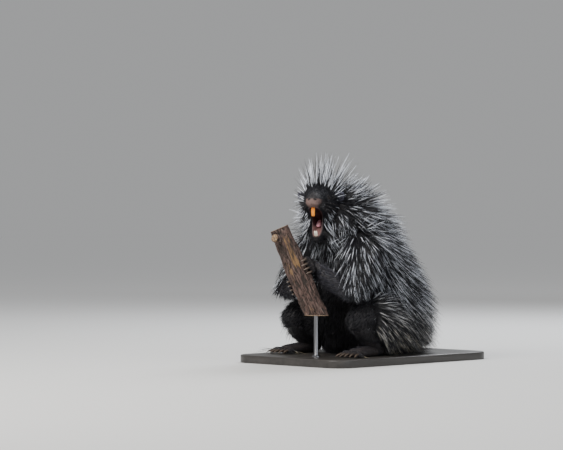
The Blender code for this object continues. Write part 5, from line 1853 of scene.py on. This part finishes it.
def make_dark_fur(surface):
    """Dense short dark fur over trunk, limbs and tail."""
    values = bpy.context.scene.porcupine_coat
    roots = surface.sow(values.fur_spacing, SEED + 3)
    face = roots.on(*SKULL, "jaw") & (roots.head[:, 1] < 0.050)
    keep = (roots.bare < 0.3) & ~face & (roots.paw < 0.65) & ~roots.on("ear")
    roots = roots.only(keep & (roots.place[:, 2] > SEAT + 0.002))
    head, trunk, tail = roots.on(*SKULL, "jaw"), roots.on("trunk"), roots.on("tail")
    hanging = fade(roots.sitting[:, 2], 0.055, 0.085) * np.where(roots.on("trunk", "thigh"), 1.0, 0.0)
    length = np.select([trunk, tail, roots.on("shank")], [0.034, 0.018, 0.012], 0.019) + 0.030 * hanging
    length = np.where(head, by(roots.head[:, 1], FACE_LENGTH), length) * (1 - 0.6 * roots.paw)
    lift = np.where(trunk | tail, 0.62, 0.42)
    droop = np.where(trunk, 0.5, 0.25) + 1.5 * hanging
    flow = unit(roots.flow + droop[:, None] * roots.tangent((0, 0, -1)))
    way = unit(flow + roots.normal * lift[:, None] + roots.wander(0.16))
    radius = values.fur_radius * (1 - 0.4 * roots.paw)
    strand = Strands(roots, way, length * roots.random(0.7, 1.25), 0.12, radius, FUR_SHAPE)
    strand.gather(0.009, 0.45)
    pale = (roots.random(0, 1) < 0.10) & long_coat(roots)[0] & ~head
    strand.band = np.where(pale, roots.random(0.6, 0.85), NEVER)
    # Painted sheen: the forearms' fur is made 2.2 times lighter than the rest.
    strand.shade = roots.random(0.6, 1.5) * np.where(roots.on("forearm"), 2.2, 1.0)
    strand.keep(np.all(strand.centre(1.0) < np.array(CAD_BOX[1]), axis=1))
    strand.grow("dark_fur")


def make_paw_fur(surface):
    """Fine short fur on the backs of the paws."""
    roots = surface.sow(PAW_SPACING, SEED + 4)
    sole = roots.on("hind_foot") & (roots.normal[:, 2] < -0.3)
    roots = roots.only((roots.paw > 0.12) & ~sole & (roots.place[:, 2] > SEAT + 0.002))
    way = unit(roots.flow + roots.normal * 0.40 + roots.wander(0.14))
    length = 0.0105 - 0.0060 * roots.paw
    strand = Strands(roots, way, length * roots.random(0.7, 1.2), 0.15, PAW_FUR_RADIUS, FUR_SHAPE)
    strand.gather(0.005, 0.35)
    strand.shade = roots.random(0.8, 4.0)
    strand.grow("paw_fur")


FACE_LENGTH = (
    (0.000, 0.0022), (0.012, 0.0040), (0.024, 0.0080), (0.045, 0.0125), (0.070, 0.0175), (0.095, 0.0230),
)
FACE_LIFT = ((0.000, 0.30), (0.018, 0.42), (0.045, 0.62), (0.075, 0.95))


def make_face_fur(surface):
    """Short fur that lies back from the nose and grows longer towards brow and cheek, and on the ears."""
    frame_out = head_frame()
    centre = np.array(frame_out @ FACE_CENTRE)
    spacing = bpy.context.scene.porcupine_coat.face_spacing
    roots = surface.sow(spacing, SEED + 5, (centre - FACE_REACH, centre + FACE_REACH))
    ear = roots.on("ear")
    keep = (roots.on(*SKULL, "jaw") & (roots.head[:, 1] < 0.086) | ear) & (roots.bare < 0.35)
    roots, ear = roots.only(keep), ear[keep]
    x, y, z = roots.head.T
    out = turned(np.sign(x)[:, None] * (1.0, 0.0, 0.0), frame_out)
    low = turned(np.array([(0, 0, -1.0)]), frame_out)[0]
    cheek = np.clip((0.004 - z) / 0.030, 0, 1)
    flow = unit(roots.flow + cheek[:, None] * 0.55 * low + 0.10 * out)
    flow = unit(flow - dots(flow, roots.normal)[:, None] * roots.normal)
    jaw = roots.on("jaw")
    lift = by(y, FACE_LIFT) * np.where(jaw, 0.7, 1.0)
    way = unit(flow + roots.normal * lift[:, None] + roots.wander(0.12))
    length = np.where(ear, EAR_FUR_LENGTH, by(y, FACE_LENGTH) * np.where(jaw, 0.85, 1.0))
    eyes = np.array([on_side(EYE_CENTRE, side) for side in SIDES])
    near_eye = np.linalg.norm(roots.head[:, None] - eyes, axis=2).min(axis=1)
    length = length * np.clip((near_eye - 0.0055) / 0.010, 0.25, 1)
    radius = 0.00020 + 0.014 * length
    strand = Strands(roots, way, length * roots.random(0.7, 1.25), 0.12, radius, FUR_SHAPE)
    strand.gather(0.0045, 0.40)
    strand.warmth = np.clip(roots.muzzle * 1.1 - 0.1, 0, 1)
    strand.shade = 1 + roots.random(-0.5, 0.6)
    # Painted light and shade: the brown muzzle fur is lighter on the animal's right and darker on its left.
    strand.shade *= 1 - 0.30 * strand.warmth * np.clip(x / 0.012, -0.6, 1)
    strand.shade *= np.where(ear, roots.random(2, 16), 1.0)
    strand.clear()
    strand.meshes("face_fur", face_fur_material(), "dark_coat")


def make_eye(side):
    """An eyeball with a slight swell of the cornea, set in its socket."""
    points, faces = ellipsoid((0, 0, 0), (1, 1, 1), 48, 32)
    facing = points @ np.array(on_side(EYE_OUTWARD, side))
    swell = 1 + 0.05 * np.clip((facing - 0.7) / 0.3, 0, 1) ** 2
    placed = points * (EYE_RADIUS * swell)[:, None] + np.array(on_side(EYE_CENTRE, side))
    eye = joined("porcupine_eye_" + side, [(moved(placed, head_frame()), faces)])
    store(eye.data, "facing", facing)
    dress(eye, shared("porcupine_eye", eye_material), "eye_gloss", "eye_" + side)


def make_incisors(name, shape, matrix, finish, slot, node):
    """Two curved incisors with chisel tips, side by side."""
    root, way, curve = (Vector(v) for v in shape[:3])
    along, length = way.normalized(), shape[3]
    shapes = []
    for sign in (1, -1):
        path = []
        for share in np.linspace(-0.4, 1.0, 22):
            centre = root + along * length * share + curve * share**2
            centre.x += sign * (TOOTH_WIDTH * 0.51 - 0.00012)
            wide, thin = (size / 2 * by(share, taper) for size, taper in
                          ((TOOTH_WIDTH, TOOTH_WIDTHS), (TOOTH_DEPTH, TOOTH_DEPTHS)))
            path.append((*centre, wide, thin, thin))
        shapes.append(Form("tooth", path, square=TOOTH_SQUARE, ends=(0.3, 0.35), rows=30, sides=24).mesh())
    teeth = joined(name, shapes)
    grown = dots(points_of(teeth.data) - np.array(root), np.array(along)) / length
    store(teeth.data, "along", np.clip(grown, 0, 1))
    teeth.data.transform(matrix)
    dress(teeth, finish, slot, node)


def make_tongue():
    """A tongue with a shallow groove, in the lower jaw."""
    points, faces = Form("tongue", TONGUE, ends=(1.0, 1.4), rows=40, sides=40).mesh()
    groove = np.exp(-((points[:, 0] / 0.0016) ** 2)) * np.clip((points[:, 2] + 0.0075) / 0.004, 0, 1)
    points[:, 2] -= 0.0012 * groove
    tongue = joined("porcupine_tongue", [(points, faces)])
    tongue.data.transform(head_frame() @ jaw_swing())
    dress(tongue, tongue_material(), "tongue_skin", "tongue")


def bark_tree():
    """A tree that raises ridges and opens cracks along the grain of a branch."""
    inputs = {"Geometry": "Geometry", "Ridge Depth": "Float", "Ridge Size": "Float", "Crack Depth": "Float",
              "Grain": "Vector", "Finish": "Material"}
    group, start, end = new_group("GeometryNodeTree", "Bark Relief", inputs, {"Geometry": "Geometry"})
    shape, depth, size, crack, grain, material = start[:6]
    place = group.node("GeometryNodeInputPosition").outputs[0]
    normal = group.node("GeometryNodeInputNormal").outputs[0]
    along = group.vector("DOT_PRODUCT", place, grain, "Value")
    laid = group.vector("ADD", place, group.scaled(grain, group.maths("MULTIPLY", along, -0.84)))
    noise = {"Vector": laid, "Scale": size, "Detail": 5.0, "Roughness": 0.6}
    ridge = group.span(group.node("ShaderNodeTexNoise", noise).outputs["Fac"], 0.25, 0.75)
    cells = {"Vector": laid, "Scale": group.maths("MULTIPLY", size, 0.8)}
    cell = group.node("ShaderNodeTexVoronoi", cells, feature="DISTANCE_TO_EDGE")
    gap = group.span(cell.outputs["Distance"], 0.0, 0.11, 1.0, 0.0)
    sawn, worn = (
        group.node("GeometryNodeInputNamedAttribute", {"Name": name}, data_type="FLOAT").outputs[0]
        for name in ("sawn", "worn"))
    flat = group.maths("MAXIMUM", sawn, group.maths("MULTIPLY", worn, 0.4))
    raised = group.maths("MULTIPLY", group.maths("SUBTRACT", ridge, 0.75), depth)
    opened = group.maths("SUBTRACT", raised, group.maths("MULTIPLY", gap, crack))
    move = group.maths("MULTIPLY", opened, group.maths("SUBTRACT", 1.0, flat))
    # The relief that the bark's colour reads: grey on the crests and painted shade in the cracks.
    relief = group.maths("SUBTRACT", ridge, group.maths("MULTIPLY", gap, 0.5))
    marked = group.node(
        "GeometryNodeStoreNamedAttribute", {"Geometry": shape, "Name": "relief", "Value": relief},
        data_type="FLOAT", domain="POINT")
    places = {"Geometry": marked.outputs[0], "Offset": group.scaled(normal, move)}
    end_tree(group, group.node("GeometryNodeSetPosition", places), material, end)
    return group.tree


def mark_branch(mesh):
    """Marks the sawn ends, the broken end of the knot and the side where the bark has worn off."""
    axis = np.array(BRANCH_AXIS)
    off = points_of(mesh) - np.array(BRANCH_GRIP)
    height, level = off @ axis, off[:, 2] + BRANCH_GRIP.z
    end = round_branch(*KNOT[-1][:3])
    twig = (end - round_branch(*KNOT[0][:3])).normalized()
    facing = unit(off - height[:, None] * axis) @ np.array(WORN_SIDE)
    store(mesh, "sawn", fade(np.minimum(BRANCH_TOP - height, level - BRANCH_FOOT_Z), 0.0002, 0.0009))
    store(mesh, "broken", fade(-(off - np.array(end - BRANCH_GRIP)) @ np.array(twig), -0.0008, 0.0004))
    store(mesh, "worn", fade(-facing, *WORN_WIDTH) * fade(np.abs(height - WORN_HEIGHT), *WORN_LENGTH))


def make_perch():
    """The cut branch with its knot, level at the foot and sawn at the top."""
    values = bpy.context.scene.porcupine_mount
    low = (BRANCH_FOOT_Z - BRANCH_GRIP.z) / BRANCH_AXIS.z - BRANCH_CUT_ALLOWANCE
    heights = np.linspace(low, BRANCH_TOP, 210)
    angles = np.linspace(0, 360, 151)[:-1]
    rings = []
    for height in heights:
        edge = min(1.0, (BRANCH_TOP - height) / 0.0015)
        radius = branch_radius(height) - 0.0006 * (1 - edge)
        ring = [round_branch(height, a, radius * (1 + branch_swell(height, a))) for a in angles]
        rings.append(np.array(ring))
    for share in np.linspace(0.93, 0.1, 10):
        rings.append(rings[len(heights) - 1] * share + np.array(branch_point(BRANCH_TOP)) * (1 - share))
    branch = joined("porcupine_perch", [ring_mesh(rings, (branch_point(low), branch_point(BRANCH_TOP)))])
    path = [round_branch(*place[:3]) for place in KNOT]
    knot = tube_form("knot", path, [place[3] for place in KNOT], sides=72, rows=50, ends=(0.3, 0.35))
    boolean(branch, [joined("Knot", [knot.mesh()])], "UNION")
    boolean(branch, [joined("Foot", [box_mesh((-1, -1, -1), (1, 1, BRANCH_FOOT_Z))])], "DIFFERENCE")
    mark_branch(branch.data)
    branch.data.transform(SITTING)
    branch.data.shade_smooth()
    run_tree(branch, bark_tree(), {
        "Ridge Depth": values.ridge_depth, "Ridge Size": values.ridge_size, "Crack Depth": values.crack_depth,
        "Grain": BRANCH_AXIS, "Finish": bark_material()})
    branch.data.set_sharp_from_angle(angle=math.radians(50))
    ride(branch, "bark", "perch_branch")


def box_mesh(low, high):
    corners = [(x, y, z) for x in (low[0], high[0]) for y in (low[1], high[1]) for z in (low[2], high[2])]
    return corners, [(0, 1, 3, 2), (4, 6, 7, 5), (0, 4, 5, 1), (2, 3, 7, 6), (0, 2, 6, 4), (1, 5, 7, 3)]


def make_base():
    """The painted base with rounded corners and softened edges."""
    low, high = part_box("stand_base")
    size = high - low
    plate = bmesh.new()
    bmesh.ops.create_cube(plate, size=1.0)
    for vert in plate.verts:
        vert.co = (vert.co + Vector((0, 0, 0.5))) * size
    for offset, segments, wanted in (
            (0.045, 20, lambda foot, top: top - foot > size.z / 2),
            (0.003, 5, lambda foot, top: foot > size.z * 0.99),
            (0.001, 2, lambda foot, top: top < size.z * 0.01)):
        edges = [e for e in plate.edges if wanted(*sorted(v.co.z for v in e.verts))]
        bmesh.ops.bevel(plate, geom=edges, offset=offset, segments=segments, profile=0.5, affect="EDGES")
    mesh = bpy.data.meshes.new("display_base")
    plate.to_mesh(mesh)
    plate.free()
    dress(link(mesh, "display_base"), stand_material(), "stand_finish", "stand_base", sharp=35)


def make_rod():
    """The steel rod in its collar."""
    low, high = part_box("stand_rod")
    centre, radius = (low + high) / 2, (high.x - low.x) / 2
    profile = (*ROD_COLLAR, (radius + 0.0004, 0.0046), (radius, 0.0052), (radius, high.z - low.z))
    turns = np.arange(48) * 2 * math.pi / 48
    rings = [np.stack([centre.x + r * np.cos(turns), centre.y + r * np.sin(turns), np.full(48, low.z + z)],
                      axis=1)
             for r, z in profile]
    rod = joined("display_rod", [ring_mesh(rings, [(*centre.xy, z) for z in (low.z, high.z)])])
    dress(rod, steel_material(), "rod_steel", "stand_rod", sharp=35)


class PORCUPINE_OT_skin(Operator):
    """Makes one skin over head, body, limbs and tail"""

    bl_idname = "porcupine.skin"
    bl_label = "Skin"

    def execute(self, context):
        skin = join_skin(context.scene.porcupine_skin)
        mark_skin(skin)
        dress(skin, skin_material(), "dark_coat", *[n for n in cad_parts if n.startswith(FLESH)])
        return {"FINISHED"}


class PORCUPINE_OT_eyes(Operator):
    """Makes both eyes"""

    bl_idname = "porcupine.eyes"
    bl_label = "Eyes"

    def execute(self, context):
        for side in SIDES:
            make_eye(side)
        return {"FINISHED"}


class PORCUPINE_OT_mouth(Operator):
    """Makes the incisors and the tongue"""

    bl_idname = "porcupine.mouth"
    bl_label = "Teeth and tongue"

    def execute(self, context):
        orange = enamel_material("upper_enamel", (0.94, 0.31, 0.010), (0.66, 0.17, 0.010))
        cream = enamel_material("lower_enamel", (0.95, 0.92, 0.84), (0.86, 0.74, 0.52))
        head, jaw = head_frame(), head_frame() @ jaw_swing()
        make_incisors("upper_teeth", UPPER_INCISORS, head, orange, "upper_tooth", "upper_incisors")
        make_incisors("lower_teeth", LOWER_INCISORS, jaw, cream, "lower_tooth", "lower_incisors")
        make_tongue()
        return {"FINISHED"}


class PORCUPINE_OT_claws(Operator):
    """Makes the claws of all four paws"""

    bl_idname = "porcupine.claws"
    bl_label = "Claws"

    def execute(self, context):
        claws = strands("porcupine_claws", claw_lines(), 14, 0.8, horn_material())
        claws.data.transform(SITTING)
        ride(claws, "paw_skin")
        return {"FINISHED"}


class PORCUPINE_OT_whiskers(Operator):
    """Makes the whiskers beside the nose"""

    bl_idname = "porcupine.whiskers"
    bl_label = "Whiskers"

    def execute(self, context):
        lines = whisker_lines(context.scene.porcupine_skin)
        whiskers = strands("porcupine_whiskers", lines, 6, 1.0, whisker_material())
        whiskers.data.transform(head_frame())
        ride(whiskers, "dark_coat")
        return {"FINISHED"}


class PORCUPINE_OT_quills(Operator):
    """Grows the quills of crown, back, tail, arms and thighs"""

    bl_idname = "porcupine.quills"
    bl_label = "Quills"

    def execute(self, context):
        make_quills(Surface(bpy.data.objects["porcupine_skin"]))
        return {"FINISHED"}


class PORCUPINE_OT_guard_hair(Operator):
    """Grows the long guard hair"""

    bl_idname = "porcupine.guard_hair"
    bl_label = "Guard hair"

    def execute(self, context):
        make_guard_hair(Surface(bpy.data.objects["porcupine_skin"]))
        return {"FINISHED"}


class PORCUPINE_OT_fur(Operator):
    """Grows the short fur of body, paws and face"""

    bl_idname = "porcupine.fur"
    bl_label = "Short fur"

    def execute(self, context):
        skin = Surface(bpy.data.objects["porcupine_skin"])
        make_dark_fur(skin)
        make_paw_fur(skin)
        make_face_fur(skin)
        return {"FINISHED"}


class PORCUPINE_OT_perch(Operator):
    """Makes the cut branch that the forepaws hold"""

    bl_idname = "porcupine.perch"
    bl_label = "Perch"

    def execute(self, context):
        make_perch()
        return {"FINISHED"}


class PORCUPINE_OT_stand(Operator):
    """Makes the display base and its rod"""

    bl_idname = "porcupine.stand"
    bl_label = "Stand"

    def execute(self, context):
        make_base()
        make_rod()
        return {"FINISHED"}


def add_light(name, place, target, size, power, colour):
    data = bpy.data.lights.new(name, "AREA")
    data.shape = "DISK"
    data.size = size
    data.energy = power
    data.color = colour
    light = bpy.data.objects.new(name, data)
    light.location = place
    light.rotation_euler = (Vector(target) - Vector(place)).to_track_quat("-Z", "Y").to_euler()
    bpy.context.scene.collection.objects.link(light)


class PORCUPINE_OT_stage(Operator):
    """Lays the pale floor, sets the soft lights and places the camera"""

    bl_idname = "porcupine.stage"
    bl_label = "Stage"

    def execute(self, context):
        values = context.scene.porcupine_stage
        corners = [(x * FLOOR_HALF, y * FLOOR_HALF, 0) for x, y in ((-1, -1), (1, -1), (1, 1), (-1, 1))]
        floor = mesh_object("studio_floor", corners, [(0, 1, 2, 3)])
        made = Finish("studio_floor", 0.9)
        near = made.mix(made.noise(2.0, 2.0), values.floor_colour, toned(values.floor_colour, 0.985))
        reach = made.vector("LENGTH", made.place(), output="Value")
        made.set(Base_Color=made.mix(made.span(reach, *FLOOR_FADE), near, (1, 1, 1)), Specular_IOR_Level=0.0)
        floor.data.materials.append(made.material)

        world = bpy.data.worlds.new("Studio")
        world.use_nodes = True
        sky = world.node_tree.nodes["Background"]
        sky.inputs["Color"].default_value = (0.90, 0.91, 0.92, 1)
        sky.inputs["Strength"].default_value = values.sky_strength
        context.scene.world = world

        right = Vector((math.cos(CAMERA_AZIMUTH), math.sin(CAMERA_AZIMUTH), 0))
        back = Vector((math.sin(CAMERA_AZIMUTH), -math.cos(CAMERA_AZIMUTH), 0))
        up = Vector((0, 0, 1))
        for name, out, aside, height, size, power, colour in (
                ("Key", 1.6, -1.5, 2.1, 1.6, values.key_power, (1, 0.97, 0.93)),
                ("Fill", 1.9, 1.9, 0.9, 2.2, values.fill_power, (0.88, 0.93, 1)),
                ("Rim", -1.7, 0.9, 1.9, 1.4, values.rim_power, (0.92, 0.95, 1))):
            place = LIGHT_TARGET + back * out + right * aside + up * height
            add_light(name, place, LIGHT_TARGET, size, power, colour)

        data = bpy.data.cameras.new("Camera")
        data.sensor_width = SENSOR
        data.lens = SENSOR * CAMERA_DISTANCE / FRAME_WIDTH
        data.clip_end = 100
        camera = bpy.data.objects.new("Camera", data)
        seat = SITTING.to_translation()
        camera.location = seat + right * CAMERA_ASIDE + back * CAMERA_DISTANCE + up * CAMERA_HEIGHT
        camera.rotation_euler = (math.radians(90), 0, CAMERA_AZIMUTH)
        context.scene.collection.objects.link(camera)
        context.scene.camera = camera
        return {"FINISHED"}


BUILD_ORDER = ("stage", "skin", "eyes", "mouth", "claws", "whiskers", "perch", "stand", "quills",
               "guard_hair", "fur")


class PORCUPINE_PT_panel(Panel):
    """Lists the values and the steps that build the porcupine"""

    bl_idname = "PORCUPINE_PT_panel"
    bl_label = "Sitting Porcupine"
    bl_space_type = "VIEW_3D"
    bl_region_type = "UI"
    bl_category = "Porcupine"

    def draw(self, context):
        for group in ("porcupine_skin", "porcupine_coat", "porcupine_mount", "porcupine_stage"):
            values = getattr(context.scene, group)
            box = self.layout.box()
            for name in values.__annotations__:
                box.prop(values, name)
        for step in BUILD_ORDER:
            self.layout.operator("porcupine." + step)


GROUPS = {
    "porcupine_skin": PorcupineSkin,
    "porcupine_coat": PorcupineCoat,
    "porcupine_mount": PorcupineMount,
    "porcupine_stage": PorcupineStage,
}
CLASSES = (
    *GROUPS.values(),
    PORCUPINE_OT_skin,
    PORCUPINE_OT_eyes,
    PORCUPINE_OT_mouth,
    PORCUPINE_OT_claws,
    PORCUPINE_OT_whiskers,
    PORCUPINE_OT_quills,
    PORCUPINE_OT_guard_hair,
    PORCUPINE_OT_fur,
    PORCUPINE_OT_perch,
    PORCUPINE_OT_stand,
    PORCUPINE_OT_stage,
    PORCUPINE_PT_panel,
)


def register():
    for cls in CLASSES:
        bpy.utils.register_class(cls)
    for name, group in GROUPS.items():
        setattr(bpy.types.Scene, name, PointerProperty(type=group))


def unregister():
    for name in GROUPS:
        delattr(bpy.types.Scene, name)
    for cls in reversed(CLASSES):
        bpy.utils.unregister_class(cls)


def main():
    register()
    for step in BUILD_ORDER:
        getattr(bpy.ops.porcupine, step)()


if __name__ == "__main__":
    main()
